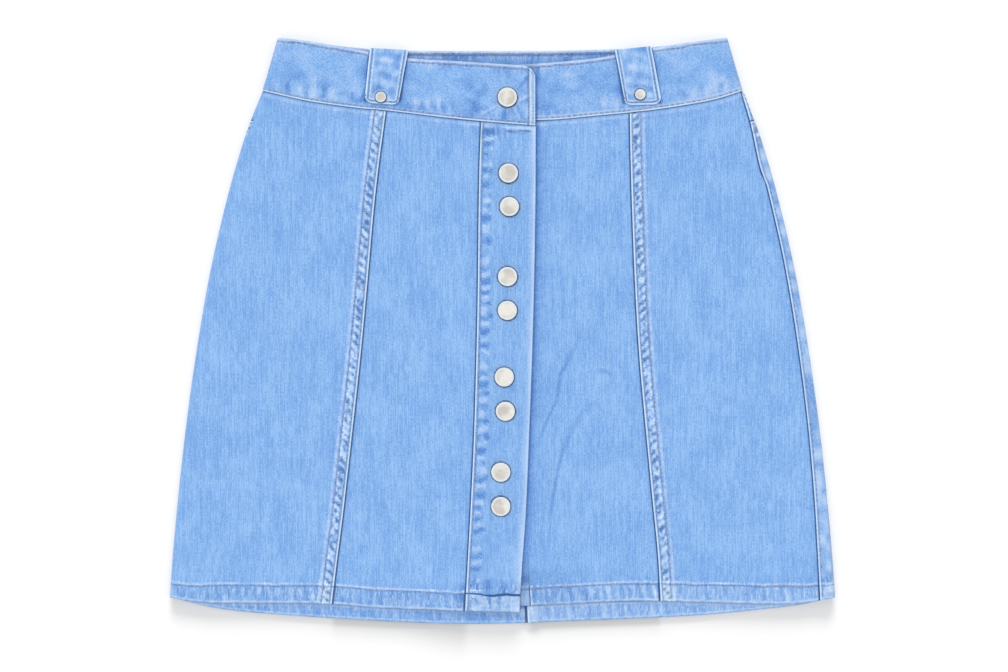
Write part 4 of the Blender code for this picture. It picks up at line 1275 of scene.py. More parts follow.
def back_hem_wear_and_shading(wear_and_shade, up, x, centre, side, seed):
    """The inner face of the back's hem, seen below the front: pale ridges and blue hollows, painted light
    just below the front's hem, and a dark centre seam line of kept dye and painted shadow.
    """
    wear_hem(wear_and_shade, up, x, seed)
    fold = stripe(up, -2, 1.2, 1)
    wear_and_shade.fade *= 0.9 - 0.3 * fold
    wear_and_shade.line += 0.05 * fold
    wear_and_shade.deep *= 0.6
    wear_and_shade.deep += 0.12 * window(up, 1.5 * MM, HEM_STITCH, 3 * MM)
    front = LEFT_FRONT if side > 0 else RIGHT_FRONT
    # painted light: a paler strip just below the front's hem, against the shade that the front casts
    below = body_y(front, x, 1.0) - body_y(BACK, x, 1 - up / BODY_LENGTH)
    wear_and_shade.fade += 0.28 * stripe(below, -2, 2.3, 1.2)
    if side > 0:
        wear_and_shade.fade += 0.06 * window(up, 0, HEM_STITCH, MM)
        felled = stripe(centre, 1.8, 10, 1.2)
        # the dark seam line is kept dye with a painted shadow in the seam
        wear_and_shade.line += 1.2 * stripe(centre, -1, 0.9, 0.5) + 0.06 * felled
        wear_and_shade.fade += 0.9 * stripe(centre, 0.9, 2.0, 0.5) + 0.27 * felled
        wear_and_shade.deep *= 1 - 0.7 * felled
        wear_and_shade.rub += 0.3 * felled
    else:
        ditch_shade_and_dye(wear_and_shade, centre)


YOKE_SIDE = YOKE_SIDE_DOWN * BODY_LENGTH
YOKE_DOWNS = spread(0.0, YOKE_SIDE, TOP_STEPS[:4], EDGE_STEPS[:5], 2.5 * MM) / BODY_LENGTH
LOWER_DOWNS = spread(YOKE_SIDE, BODY_LENGTH, SEWN_STEPS, HEM_STEPS, 7 * MM) / BODY_LENGTH
backs = {}
for side, half in ((-1, "right"), (1, "left")):
    yoke, back = "yoke_" + half, "back_" + half
    backs[yoke] = back_piece(yoke, side, YOKE_DOWNS, yoke_row_down, False, 17 + side)
    backs[back] = back_piece(back, side, LOWER_DOWNS, lower_row_down, True, 27 + side)

# %% [markdown]
# ## The waistband
# The band is a folded strip. The right front end laps over the left one and ends in a thick rolled edge
# with a rounded upper corner. The band's long edges are worn white, and above the lower stitches the
# cloth is mottled where the seam inside it rubs. Painted shadow darkens the band beside the loops and
# beside the end of the lap. The back band shows its inner face above the fronts, painted darker as it
# lies in shade.


# %% The band's form
def band_half_width(up):
    """Half the band's width at a share of its depth, from 0 at the waist seam to 1 at the top."""
    return BAND_HALF_WIDTH_SEAM + (BAND_HALF_WIDTH_TOP - BAND_HALF_WIDTH_SEAM) * up


def band_y(table, x, up):
    share = x / band_half_width(up)
    seam = WAIST_SEAM[table](share) + SEAM_GAP / 2
    return seam + up * (BAND_TOP[table](share) - seam)


def lap_lift(x):
    """How far the right front band climbs over the left one."""
    return LAP_LIFT * ease((x - LAP_START) / (LAP_LEVEL - LAP_START))


def band_turn(side, run, up):
    """(x, z, outward direction) at a run round the band's side fold."""
    radius = BAND_HEIGHT / 2
    turn = run / radius
    x = side * (band_half_width(up) - radius + radius * np.cos(turn))
    out = stack(side * np.cos(turn) + 0 * x, 0 * x, np.sin(turn) + 0 * x)
    return x, radius + radius * np.sin(turn) + 0 * x, out


BAND_DEPTH = 41.5 * MM
BAND_UPS = (spread(0.0, BAND_DEPTH, EDGE_STEPS, EDGE_STEPS, 1.0 * MM) / BAND_DEPTH)[:, None]
BAND_QUARTER = BAND_HEIGHT / 2 * math.pi / 2
BAND_FOLD_RUNS = np.linspace(0, BAND_QUARTER, 9)[None, :]

# %% Corners of the loops in plan, in millimetres
Loop = namedtuple("Loop", "name top_right top_left bottom_right bottom_left")
LOOPS = (
    Loop("belt_loop_right", (-99.4, 211.4), (-70.9, 209.8), (-103.1, 170.2), (-77.2, 168.4)),
    Loop("belt_loop_left", (84.4, 210.0), (111.7, 212.8), (91.2, 168.2), (118.7, 169.0)),
)


def shade_beside_loops(wear_and_shade, x, y):
    """Painted shadow on the band close beside the long edges of a loop."""
    for loop in LOOPS:
        share = (y / MM - loop.bottom_right[1]) / (loop.top_right[1] - loop.bottom_right[1])
        right = (loop.bottom_right[0] + share * (loop.top_right[0] - loop.bottom_right[0])) * MM
        left = (loop.bottom_left[0] + share * (loop.top_left[0] - loop.bottom_left[0])) * MM
        outside, above = np.maximum(right - x, x - left), ease(20 * share)
        wear_and_shade.line += 0.8 * above * stripe(outside, -1.2, 0.9, 0.6)
        wear_and_shade.deep += 0.6 * above * stripe(outside, -2, 40, 1) * fading(outside, 3 * MM)


# %% The band's wear
FOOT_ROW, HEAD_ROW = 1.75 * MM, 2.7 * MM  # the stitches above its lower and below its upper edge


def band_wear(x, foot, head, zones, seed):
    """Marks from distances to the band's two long edges. It is most puckered in the zones of x."""
    wear_and_shade = WearAndShade(x.shape)
    wear_edge(wear_and_shade, foot, x, 1.0 * MM, 1.0, seed)
    worn = 0.8 + 0.3 * waver(x, 2.4, seed + 1)
    top_edge = stripe(head, -2, 1.7, 0.8)
    wear_and_shade.fade += 0.75 * worn * top_edge
    wear_and_shade.line += 0.07 * top_edge
    strength = 0.25 + sum(0.2 * window(x, start * MM, end * MM, 14 * MM) for start, end in zones)
    wave = uneven_wave(x + 0.2 * foot, 8.0 * MM, seed + 2)
    broken = mottle(x, 4.5, foot, 10, seed + 6)
    reach = stripe(foot, 2.6, 30, 1.4) * fading(foot - 5 * MM, 6.5 * MM)
    hollow = ease(1.2 * wave + 0.6 * broken - foot / (14 * MM))
    ridge = ease(0.1 - 0.9 * wave + 0.6 * broken)
    wear_and_shade.deep += strength * reach * hollow
    wear_and_shade.fade += 0.6 * strength * reach * ridge
    cloud = mottle(x + 0.7 * foot, 14, foot - 0.2 * x, 8, seed + 3)
    cloud = cloud + 0.6 * mottle(x, 6, foot, 5, seed + 4)
    wear_and_shade.fade += 0.2 * np.maximum(cloud, 0)
    wear_and_shade.deep += 0.56 * np.maximum(-cloud, 0)
    knots = 0.6 + 0.5 * uneven_wave(x, 3.6 * MM, seed + 5) + 0.3 * waver(x, 9, seed + 7)
    wear_and_shade.fade += 0.3 * knots * stripe(foot, 1.0, 3.2, 1)
    wear_and_shade.fade += 0.24 * knots * stripe(head, 1.6, 4.6, 1.6)
    wear_and_shade.streak += 0.25 * stripe(foot, 2.6, 14, 8) + 0.25 * stripe(head, 1.6, 7, 2)
    for distance, row, dark_dye in ((foot, FOOT_ROW, 0.24), (head + head_wander(x), HEAD_ROW, 0.4)):
        furrow = window(distance, row - 0.6 * MM, row + 0.6 * MM, 0.5 * MM)
        wear_and_shade.line += dark_dye * furrow
        wear_and_shade.lift -= 0.16 * MM * furrow
    wear_and_shade.lift += 0.2 * MM * reach * (ridge - hollow) + 0.12 * MM * cloud
    return wear_and_shade


def head_wander(x):
    """How far the upper row of stitches strays from its line."""
    return 0.4 * MM * waver(x, 5, 63)


# %% Single puckers of the front bands
Ray = namedtuple("Ray", "x1 y1 x2 y2 width tone")
RIGHT_RAYS = (
    Ray(-141, 187, -140.5, 176, 2.3, 0.5), Ray(-152, 180, -151, 176, 2.6, 0.4),
    Ray(-128.5, 180, -128, 175, 3, 0.36), Ray(-118, 175, -117.5, 172, 1.8, 0.35),
    Ray(-110, 189, -111.5, 179, 1.6, 0.22), Ray(-134, 175, -134, 181, 2.4, -0.75),
    Ray(-112.5, 172, -112.5, 177.5, 2.2, -0.6), Ray(-107, 171, -101.5, 180.5, 1.7, -0.6),
    Ray(-161, 181, -161, 184, 2.5, -0.4), Ray(-146.5, 176, -146.5, 184, 2.2, -0.4),
    Ray(-97, 186, -99, 177, 2, -0.35), Ray(-65, 170, -65, 166, 2.4, 0.34),
    Ray(-56.5, 171, -56.5, 166.5, 2, 0.42), Ray(-48.5, 171.5, -48.5, 166, 2.3, 0.36),
    Ray(-60.5, 167, -60.5, 171, 1.6, -0.3), Ray(-20.6, 167, -22.5, 162, 3.2, -0.65),
    Ray(1, 192, 0.4, 184.5, 1.6, 0.3), Ray(8.6, 193.5, 6.4, 187.5, 1.6, 0.3),
    Ray(17, 191, 14, 187, 2, 0.3),
    Ray(18.4, 188.3, 11.5, 180, 2.0, -0.55), Ray(20, 176.3, 12.4, 171.8, 1.4, 0.4),
    Ray(19.9, 172.5, 13.9, 170.3, 1.3, -0.45), Ray(-16, 161.6, -4, 168, 1.0, 0.42),
    Ray(-14, 160.2, -4, 165.6, 1.0, -0.42), Ray(-6.4, 162.8, -2.6, 166, 1.8, 0.25),
    Ray(1.9, 160.5, 1.9, 165.6, 2.7, -0.7), Ray(11, 160.5, 8.8, 166, 2.2, 0.35),
    Ray(15.4, 159, 10.1, 168, 1.2, -0.4), Ray(19.5, 165, 18, 159, 2.4, 0.3),
)  # in millimetres, from a wide end; pale over 0 and deep under it
LEFT_RAYS = (
    Ray(30, 173, 38, 168, 5, -0.34), Ray(78, 178, 76, 169, 2.6, 0.28), Ray(44, 190.5, 60, 192, 1.8, 0.22),
    Ray(27, 196, 27, 188, 1.5, -0.5), Ray(50, 176, 66, 182, 2.2, 0.14), Ray(158, 189, 176, 184, 4.5, 0.3),
    Ray(134, 177, 137, 176, 3, -0.45), Ray(149, 180.5, 149.5, 183, 2, -0.4),
    Ray(164, 183, 166, 185, 2.2, -0.4), Ray(121, 200, 123, 190, 4, -0.25),
    Ray(143, 175, 143, 180, 2, 0.3), Ray(156, 177, 157, 181, 2.2, 0.25),
)


def wear_rays(wear_and_shade, points, rays, seed):
    """Mark and lift each ray, with a broken outline."""
    for number, ray in enumerate(rays):
        share, off = along_path(points[..., 0], points[..., 1], ((ray.x1, ray.y1), (ray.x2, ray.y2)))
        off = off + 0.35 * ray.width * MM * mottle(points[..., 0], 2, points[..., 1], 2, seed + number)
        stroke = ray.tone * bell(off, ray.width * MM * (1 - 0.4 * share))
        wear_and_shade.fade *= 1 - np.clip(-1.3 * stroke, 0, 1)
        wear_and_shade.fade += 0.75 * np.maximum(stroke, 0)
        wear_and_shade.deep += np.maximum(-1.2 * stroke, 0)
        wear_and_shade.lift += 0.2 * MM * stroke


def band_faces(points, out, wear_and_shade, foot, head, ends):
    """Outer and inner faces of a front band, folded along both edges and at its free end."""
    folds = roll(foot, BAND_ROLL) + roll(head, BAND_ROLL)
    outer = lifted(points, out, wear_and_shade) - out * (folds + ends)[..., None]
    return outer, points - out * (BAND_WALL - 0.8 * folds)[..., None]


# %% The two front bands
FOLD_STEPS = np.array((0.0, 1.0)) * MM  # lines of the grid beside a side fold
END_STEPS = np.append(EDGE_STEPS, np.array((2.8, 3.5, 4.2, 4.9, 5.6)) * MM)
RIGHT_ZONES, LEFT_ZONES = ((-165, -98), (-72, -38)), ((66, 84), (150, 176))  # in millimetres


def front_band(name, side, end, table, seed):
    """A front band, from its side fold to its free end. The right one climbs over the left one."""
    up = BAND_UPS
    x_turn, z_turn, out_turn = band_turn(side, BAND_FOLD_RUNS, up)
    z_turn[:, 0] += SEAM_GAP / 2
    x_flat = spread(x_turn[:, -1], 0 * up[:, 0] + end, FOLD_STEPS, END_STEPS, 1.0 * MM)[:, 1:]
    x = np.hstack([x_turn, x_flat])
    z = np.hstack([z_turn, BAND_HEIGHT + 0 * x_flat])
    out = np.concatenate([out_turn, upright(x_flat)], axis=1)
    y = band_y(table, x, up)
    to_end = side * (x - end)
    if side < 0:
        z = z + lap_lift(x)
        corner = np.clip(1 - to_end / LAP_CORNER, 0, 1)
        y = y - LAP_CORNER * (1 - np.sqrt(1 - corner * corner)) * up
    height = band_y(table, x, 1.0) - band_y(table, x, 0.0)
    foot, head = up * height, (1 - up) * height
    points = stack(x, y, z)
    wear_and_shade = band_wear(x, foot, head, RIGHT_ZONES if side < 0 else LEFT_ZONES, seed)
    shade_beside_loops(wear_and_shade, x, y)
    wear_rays(wear_and_shade, points, RIGHT_RAYS if side < 0 else LEFT_RAYS, seed + 30)
    fold_run = np.append(BAND_FOLD_RUNS[0], 2 * BAND_QUARTER + 0 * x_flat[0])
    fold_wear_and_shade(wear_and_shade, fold_run + 0 * x, BAND_HEIGHT / 2)
    if side < 0:
        wear_lap_end(wear_and_shade, points, to_end, foot, seed + 10)
        shade_and_dent_round_snaps(wear_and_shade, points, (WAIST_SNAP,), SNAP_RADIUS)
    else:
        shade_beside_lap(wear_and_shade, x, y)
        wear_and_shade.fade += 0.25 * stripe(foot, 0.8, 3.4, 1)
    faces = band_faces(points, out, wear_and_shade, foot, head, roll(to_end, 0.6 * MM))
    keys = {"foot": foot, "head_row": head + head_wander(x), "end": to_end}
    return finished(name, faces, out, wear_and_shade, (x, y), band_denim, keys)


def shade_beside_lap(wear_and_shade, x, y):
    """Painted shadow on the left band beside the end of the lap."""
    beyond = x - LAP_END
    shade = 0.45 + 0.6 * ease((179 * MM - y) / (12 * MM)) + 0.3 * stripe(y, 187, 197, 4)
    wear_and_shade.deep += shade * fading(beyond - MM, 2.6 * MM)
    wear_and_shade.line += 0.5 * shade * stripe(beyond, -8, 1.7, 1)


def wear_lap_end(wear_and_shade, points, to_end, foot, seed):
    """The rolled pale end of the lap."""
    y = points[..., 1]
    across = to_end + 0.5 * MM * waver(y, 8, seed + 1)
    rolled = stripe(across, -1, 4.3, 0.8)
    rungs = uneven_wave(y, 2.4 * MM, seed + 2) * stripe(y, 154, 174, 6)
    for mark in (wear_and_shade.fade, wear_and_shade.deep, wear_and_shade.streak):
        mark[...] *= 1 - 0.85 * rolled * stripe(foot, 1.6, 60, 1)
    wear_and_shade.fade += rolled * (0.25 + 0.12 * mottle(to_end, 1.5, y, 3, seed) + 0.25 * rungs)
    wear_and_shade.fade += 0.55 * stripe(across, 2.9, 4.3, 0.7)
    wear_and_shade.fade += 0.45 * stripe(to_end, -1, 1.2, 0.6)
    wear_and_shade.line += 0.14 * stripe(across, 1.3, 2.9, 0.7)
    wear_and_shade.line += (0.6 + 0.3 * rungs) * stripe(across, 4.7, 5.7, 0.5)
    wear_and_shade.deep += 0.5 * stripe(across, 5.2, 8, 1.6) * (0.6 + 0.4 * waver(y, 7, seed))


band_right = front_band("waistband_right_front", -1, LAP_END, RIGHT_FRONT, 51)
band_left = front_band("waistband_left_front", 1, UNDERLAP_END, LEFT_FRONT, 71)


# %% The back band
def back_band(name, seed):
    """The back band, from side fold to side fold. Its inner face is the one that shows, with painted shade.
    """
    up = BAND_UPS
    x_right, z_right, out_right = band_turn(-1, -BAND_FOLD_RUNS, up)
    z_right[:, 0] -= SEAM_GAP / 2
    x_flat = spread(x_right[:, -1], -x_right[:, -1], FOLD_STEPS, FOLD_STEPS, 2.2 * MM)[:, 1:-1]
    x = np.hstack([x_right, x_flat, -x_right[:, ::-1]])
    z = np.hstack([z_right, 0 * x_flat, z_right[:, ::-1]])
    out_left = out_right[:, ::-1] * np.array((-1, 1, 1))
    out = np.concatenate([out_right, upright(x_flat, -1), out_left], axis=1)
    y = band_y(BACK, x, up)
    height = band_y(BACK, x, 1.0) - band_y(BACK, x, 0.0)
    foot, head = up * height, (1 - up) * height
    points = stack(x, y, z)
    wear_and_shade = band_wear(x, foot, head, (), seed)
    inner_wear_and_shade = band_wear(x, foot, head, (), seed + 20)
    # painted shade: the shown inner face is made darker and less pale throughout
    inner_wear_and_shade.deep += 0.18 + 0.4 * mottle(x, 4, head, 9, seed + 30)
    inner_wear_and_shade.fade += 0.16
    inner_wear_and_shade.line += 0.26 * stripe(head, 1.5, 4.6, 1) + 0.08
    inner_wear_and_shade.streak += 0.2
    inner_wear_and_shade.fade *= 0.5 + 0.4 * stripe(head, -2, 1.6, 1)
    wear_and_shade.lift[...] = 0
    fall = roll(foot, BAND_ROLL) + roll(head, BAND_ROLL)
    outer = points - out * (0.5 * fall)[..., None]
    inner = points - out * (BAND_WALL + inner_wear_and_shade.lift * 0.6 - fall)[..., None]
    keys = {"head_row": head + head_wander(x), "inner": inner}
    return finished(name, (outer, inner), out, wear_and_shade, (x, y), band_denim, keys, inner_wear_and_shade=inner_wear_and_shade)


band_back = back_band("waistband_back", 91)

# %% [markdown]
# ## Belt loops
# The loops are wide straps. Each is snapped flat at its lower end, bows a little off the band above that,
# and turns over the band's top edge. A section of the strap is carried up that line. All four edges are
# stitched and worn white, and the cloth between is paler than the band because it stands proud and rubs.

# %% Sizes of a loop
LOOP_CORNER = 5.5 * MM
LOOP_FLAT = 0.32
LOOP_BOW = 1.2 * MM
LOOP_BEND = 0.4 * MM
LOOP_DROP = 2.6 * MM
LOOP_LENGTH = 41.5 * MM


# %% Build a belt loop
def loop_line():
    """(share of the flat length, inner height, turn), from the snapped end to over the band's edge."""
    seat = BAND_HEIGHT + SEAM_GAP
    share = spread(0.0, LOOP_LENGTH, EDGE_STEPS, np.array((0.0, 0.6)) * MM, 1.0 * MM) / LOOP_LENGTH
    bow = seat + LOOP_BOW * ease((share - LOOP_FLAT) / 0.3) * ease((1 - share) / 0.3)
    turn = np.radians(np.linspace(0, 90, 8)[1:])
    turned = seat - LOOP_BEND * (1 - np.cos(turn))
    drop = seat - LOOP_BEND - LOOP_DROP * np.linspace(0, 1, 4)[1:]
    height = np.concatenate([bow, turned, drop])
    ones = np.ones(len(turned) + len(drop))
    turns = np.concatenate([0 * share, turn, math.radians(90) + 0 * drop])
    return np.append(share, ones)[:, None], height[:, None], turns[:, None]


LOOP_ROW = 2.3 * MM  # the stitches along a loop's edges


def loop_wear(side, end, across, seed):
    """Marks of a loop, from the distances to its side edges and to its snapped end."""
    wear_and_shade = WearAndShade(side.shape)
    rim = np.minimum(side, end)
    wear_edge(wear_and_shade, rim, end + across, 1.0 * MM, 1.0, seed)
    worn = 0.8 + 0.4 * waver(end + across, 4, seed + 5)
    wear_and_shade.fade += 0.8 * worn * stripe(rim, 2.7, 3.7, 0.6)
    cloud = patches(end, across + 0 * end, 10 * MM, 0.2, seed + 1)
    cloud = cloud + 0.7 * mottle(across, 5, end, 6, seed + 4)
    cloud = cloud * stripe(side, 4.2, 40, 1.5)
    wear_and_shade.fade += 0.12 + 0.34 * np.maximum(cloud, 0)
    wear_and_shade.deep += 0.9 * np.maximum(-cloud, 0)
    wear_and_shade.rub += 0.15 * stripe(side, 3.6, 40, 1.5)
    wear_and_shade.line += 0.55 * stripe(rim, 1.5, 2.3, 0.5)
    wear_and_shade.lift += 0.12 * MM * cloud - 0.15 * MM * stripe(rim, 1.5, 2.7, 0.5)
    return wear_and_shade


def belt_loop(loop, snap, seed):
    """A strap between four corners, carried up the loop's line."""
    share, height, turn = loop_line()
    bottom_right, bottom_left = np.array(loop.bottom_right) * MM, np.array(loop.bottom_left) * MM
    top_right, top_left = np.array(loop.top_right) * MM, np.array(loop.top_left) * MM
    width = np.linalg.norm(bottom_left - bottom_right)
    across = spread(0.0, width, EDGE_STEPS, EDGE_STEPS, 1.0 * MM)[None, :]
    mix = across / width
    corner = np.maximum(0.0, 1 - np.minimum(across, width - across) / LOOP_CORNER)
    cut = LOOP_CORNER * (1 - np.sqrt(1 - corner * corner))
    bottom = [bottom_right[k] + mix * (bottom_left - bottom_right)[k] for k in (0, 1)]
    top = [top_right[k] + mix * (top_left - top_right)[k] for k in (0, 1)]
    bottom[1] = bottom[1] + cut
    top[1] = top[1] - (LOOP_BEND + LOOP_WALL)
    x = bottom[0] + share * (top[0] - bottom[0])
    y = bottom[1] + share * (top[1] - bottom[1]) + LOOP_BEND * np.sin(turn)
    out = stack(0 * x, np.sin(turn) + 0 * x, np.cos(turn) + 0 * x)
    inner = stack(x, y, height + 0 * x)
    side = np.minimum(across, width - across) + 0 * x
    end = share * LOOP_LENGTH + 0 * x
    wear_and_shade = loop_wear(side, end, across, seed)
    shade_and_dent_round_snaps(wear_and_shade, inner, (snap,), LOOP_SNAP_RADIUS)
    wear_and_shade.lift *= np.cos(turn) ** 2
    rise = LOOP_WALL - roll(side, EDGE_ROLL) - roll(end, EDGE_ROLL) + wear_and_shade.lift
    outer = inner + out * rise[..., None]
    keys = {"right": across + 0 * x, "left": width - across + 0 * x, "end": end}
    return finished(loop.name, (outer, inner), out, wear_and_shade, (x, y - height), body_denim, keys)


loops = [belt_loop(loop, snap, 110 + 10 * k) for k, (loop, snap) in enumerate(zip(LOOPS, LOOP_SNAPS))]

# %% [markdown]
# ## Topstitching
# Each stitch is a short thread that comes up through the cloth and goes down again. A dashed line in the
# colour would be flat, so every stitch is a little spline of four points with its ends dipped into the
# cloth, and Blender's curve bevel gives it a round section. A seam's stitches follow a line that keeps a
# fixed distance from an edge, found by reading between the columns of the piece's own grid.

# %% Read a line of places off a piece of cloth
THREAD_RADIUS = 0.32 * MM
STITCH, STITCH_GAP = 2.9 * MM, 1.2 * MM
SHORT_STITCH, SHORT_GAP = 2.2 * MM, 0.9 * MM
SIDE_ROW = 1.8 * MM  # the stitches on the back's strip, beside the side seam
LAP_ROW = 5.4 * MM  # the stitches across the end of the lap
LAP_ROW_TOP = 192 * MM


def track(cloth, key, value, crosswise=False, face=None, flip=1.0):
    """(points, outward directions) where a key has a value, in each row, or column if crosswise."""
    arrays = [cloth.keys[key], cloth.outer if face is None else face, cloth.out * flip]
    if crosswise:
        arrays = [np.swapaxes(a, 0, 1) for a in arrays]
    points, outs = [], []
    for keys, places, out in zip(*arrays):
        order = np.argsort(keys)
        if keys[order[0]] <= value <= keys[order[-1]]:
            points.append([np.interp(value, keys[order], places[order, k]) for k in range(3)])
            outs.append([np.interp(value, keys[order], out[order, k]) for k in range(3)])
    return np.array(points), np.array(outs)


def part_of(line, keep):
    """The part of a line whose points pass a test."""
    points, outs = line
    chosen = keep(points)
    return points[chosen], outs[chosen]


# %% Lay one stitch
StitchPoint = namedtuple("StitchPoint", "share height swell")
STITCH_FORM = (
    StitchPoint(0.0, -0.55, 0.7),
    StitchPoint(0.2, 0.55, 1.0),
    StitchPoint(0.8, 0.55, 1.0),
    StitchPoint(1.0, -0.55, 0.7),
)  # share of the way, and height and thickness in thread radii


def add_stitch(curve, ends, out):
    """One thread, which comes up through the cloth and goes down again."""
    start, finish = ends
    spline = curve.splines.new("POLY")
    spline.points.add(len(STITCH_FORM) - 1)
    for point, form in zip(spline.points, STITCH_FORM):
        point.co = (*(start + (finish - start) * form.share + out * (form.height * THREAD_RADIUS)), 1)
        point.radius = form.swell


def places_along(points, outs, stitch, gap, number, seed):
    """(start and end, outward direction) of each stitch on a line, a little out of step."""
    if len(points) < 2:
        return
    length = np.append(0, np.cumsum(np.linalg.norm(np.diff(points, axis=0), axis=1)))
    count = int(length[-1] / (stitch + gap))
    starts = (np.arange(count) + 0.2) * (stitch + gap)
    wobble = 0.18 * stitch * unevenness(np.arange(count) * 0.9, number + 0.5, seed)
    for begin in starts + wobble:
        where = (begin, min(begin + stitch, length[-1]))
        ends = [np.array([np.interp(s, length, points[:, k]) for k in range(3)]) for s in where]
        yield ends, np.array([np.interp(sum(where) / 2, length, outs[:, k]) for k in range(3)])


# %% Lay stitches along lines
MERGE = 0.01 * MM  # points nearer than this are one


def sew(name, lines, thread, stitch=STITCH, gap=STITCH_GAP, seed=0):
    """One mesh of stitches along several lines."""
    curve = bpy.data.curves.new(name, "CURVE")
    curve.dimensions = "3D"
    curve.bevel_depth = THREAD_RADIUS
    curve.bevel_resolution = 1
    curve.use_fill_caps = True
    for number, (points, outs) in enumerate(lines):
        for ends, out in places_along(points, outs, stitch, gap, number, seed):
            add_stitch(curve, ends, out)
    holder = in_scene(name, curve)
    bpy.context.view_layer.update()
    mesh = bpy.data.meshes.new_from_object(holder.evaluated_get(bpy.context.evaluated_depsgraph_get()))
    bpy.data.objects.remove(holder)
    bm = bmesh.new()
    bm.from_mesh(mesh)
    bmesh.ops.remove_doubles(bm, verts=bm.verts[:], dist=MERGE)
    bmesh.ops.recalc_face_normals(bm, faces=bm.faces[:])
    bm.to_mesh(mesh)
    bm.free()
    mesh.name = name
    mesh.materials.clear()
    mesh.materials.append(thread)
    mesh.shade_smooth()
    print(name, "has", sum(len(face.vertices) - 2 for face in mesh.polygons), "triangles")
    return in_scene(name, mesh)


# %% [markdown]
# ## The thread finish
# Jeans thread is twisted from a few plies. On the object's own coordinates a fine wave would show the
# twist only close up, so the finish keeps a soft noise that varies each stitch a little, as washing does.


# %% Thread
def thread_finish(name, dark, pale):
    finish, tree, shader = new_finish(name)
    place = node(tree, "ShaderNodeTexCoord").outputs["Object"]
    noise = node(tree, "ShaderNodeTexNoise", {"Vector": place, "Scale": 420.0, "Detail": 2.0}).outputs[0]
    inputs = {"Vector": place, "Scale": 900.0, "Distortion": 2.0}
    plies = node(tree, "ShaderNodeTexWave", inputs, bands_direction="DIAGONAL").outputs["Fac"]
    put(shader["Base Color"], blend_colour(tree, rescale(tree, noise, 0.35, 0.65), dark, pale))
    bump = node(tree, "ShaderNodeBump", {"Height": plies, "Strength": 0.4, "Distance": 0.05 * MM})
    put(shader["Normal"], bump.outputs[0])
    put(shader["Roughness"], 0.7)
    put(shader["Specular IOR Level"], 0.25)
    return finish


grey_thread = thread_finish("thread_grey", seen(122, 134, 178), seen(176, 184, 214))

# %% Sew the fronts
stitches = {}
for name, cloth in (("front_side_right", side_right), ("front_side_left", side_left)):
    rows = [track(cloth, "edge", row) for row in (FIRST_ROW, SECOND_ROW)]
    rows.append(track(cloth, "hem_row", HEM_STITCH, crosswise=True))
    stitches[name] = sew("stitches_" + name, rows, grey_thread, SHORT_STITCH, SHORT_GAP, seed=3)
for name, cloth in (("front_centre_right", centre_right), ("front_centre_left", centre_left)):
    rows = [track(cloth, "hem_row", HEM_STITCH, crosswise=True)]
    stitches[name] = sew("stitches_" + name, rows, grey_thread, seed=4)

# %% Sew the plackets
rows = [track(placket_upper, "seam", PLACKET_ROW)]
stitches["placket_right"] = sew("stitches_placket_right", rows, grey_thread, seed=5)
rows = [track(placket_under, "hem_row", HEM_STITCH, crosswise=True)]
stitches["placket_left"] = sew("stitches_placket_left", rows, grey_thread, seed=6)

# %% Sew the backs: the side seam's edge, the yoke's and the centre's seams, and the hem from inside
for name in ("yoke_right", "yoke_left", "back_right", "back_left"):
    cloth = backs[name]
    rows = []
    if name.endswith("left"):
        rows.append(part_of(track(cloth, "edge", SIDE_ROW), lambda points: points[:, 2] > 3 * MM))
    if name.startswith("back"):
        inside = cloth.keys["inner"]
        rows.append(track(cloth, "hem_row", HEM_STITCH, crosswise=True, face=inside, flip=-1.0))
    if rows:
        stitches[name] = sew("stitches_" + name, rows, grey_thread, seed=7)

# %% Sew the waistband
LONG_ROWS = (("foot", FOOT_ROW), ("head_row", HEAD_ROW))
for name, cloth in (("waistband_right_front", band_right), ("waistband_left_front", band_left)):
    rows = [track(cloth, key, value, crosswise=True) for key, value in LONG_ROWS]
    if name == "waistband_right_front":
        rows = [part_of(row, lambda points: points[:, 0] < LAP_END - 5.0 * MM) for row in rows]
        rows.append(part_of(track(cloth, "end", LAP_ROW), lambda points: points[:, 1] < LAP_ROW_TOP))
    stitches[name] = sew("stitches_" + name, rows, grey_thread, seed=8)
inside = band_back.keys["inner"]
rows = [track(band_back, "head_row", HEAD_ROW, crosswise=True, face=inside, flip=-1.0)]
stitches["waistband_back"] = sew("stitches_waistband_back", rows, grey_thread, seed=9)

# %% Sew the loops
for loop, cloth in zip(LOOPS, loops):
    edges = [track(cloth, edge, LOOP_ROW) for edge in ("right", "left")]
    rows = [part_of(row, lambda points: points[:, 2] > BAND_HEIGHT) for row in edges]
    rows.append(track(cloth, "end", LOOP_ROW, crosswise=True))
    stitches[loop.name] = sew("stitches_" + loop.name, rows, grey_thread, SHORT_STITCH, seed=10)

# %% [markdown]
# ## Snap caps
# A snap cap is stamped from sheet metal: a low dome with a rolled rim. It is a turned shape, so a profile
# of a few points is spun round its axis. The face is brushed and a little warmer than the rim, which is
# polished by wear and tinted pale blue, a painted reflection of the cloth round it. The dark oxide stays
# under the rim and also runs onto its outer edge, where it is a painted shadow ring at the cap's edge.


# %% Metal finishes
BRUSHED = (1500, 7000, 1500)  # strokes to the metre, so a stroke is long in one direction


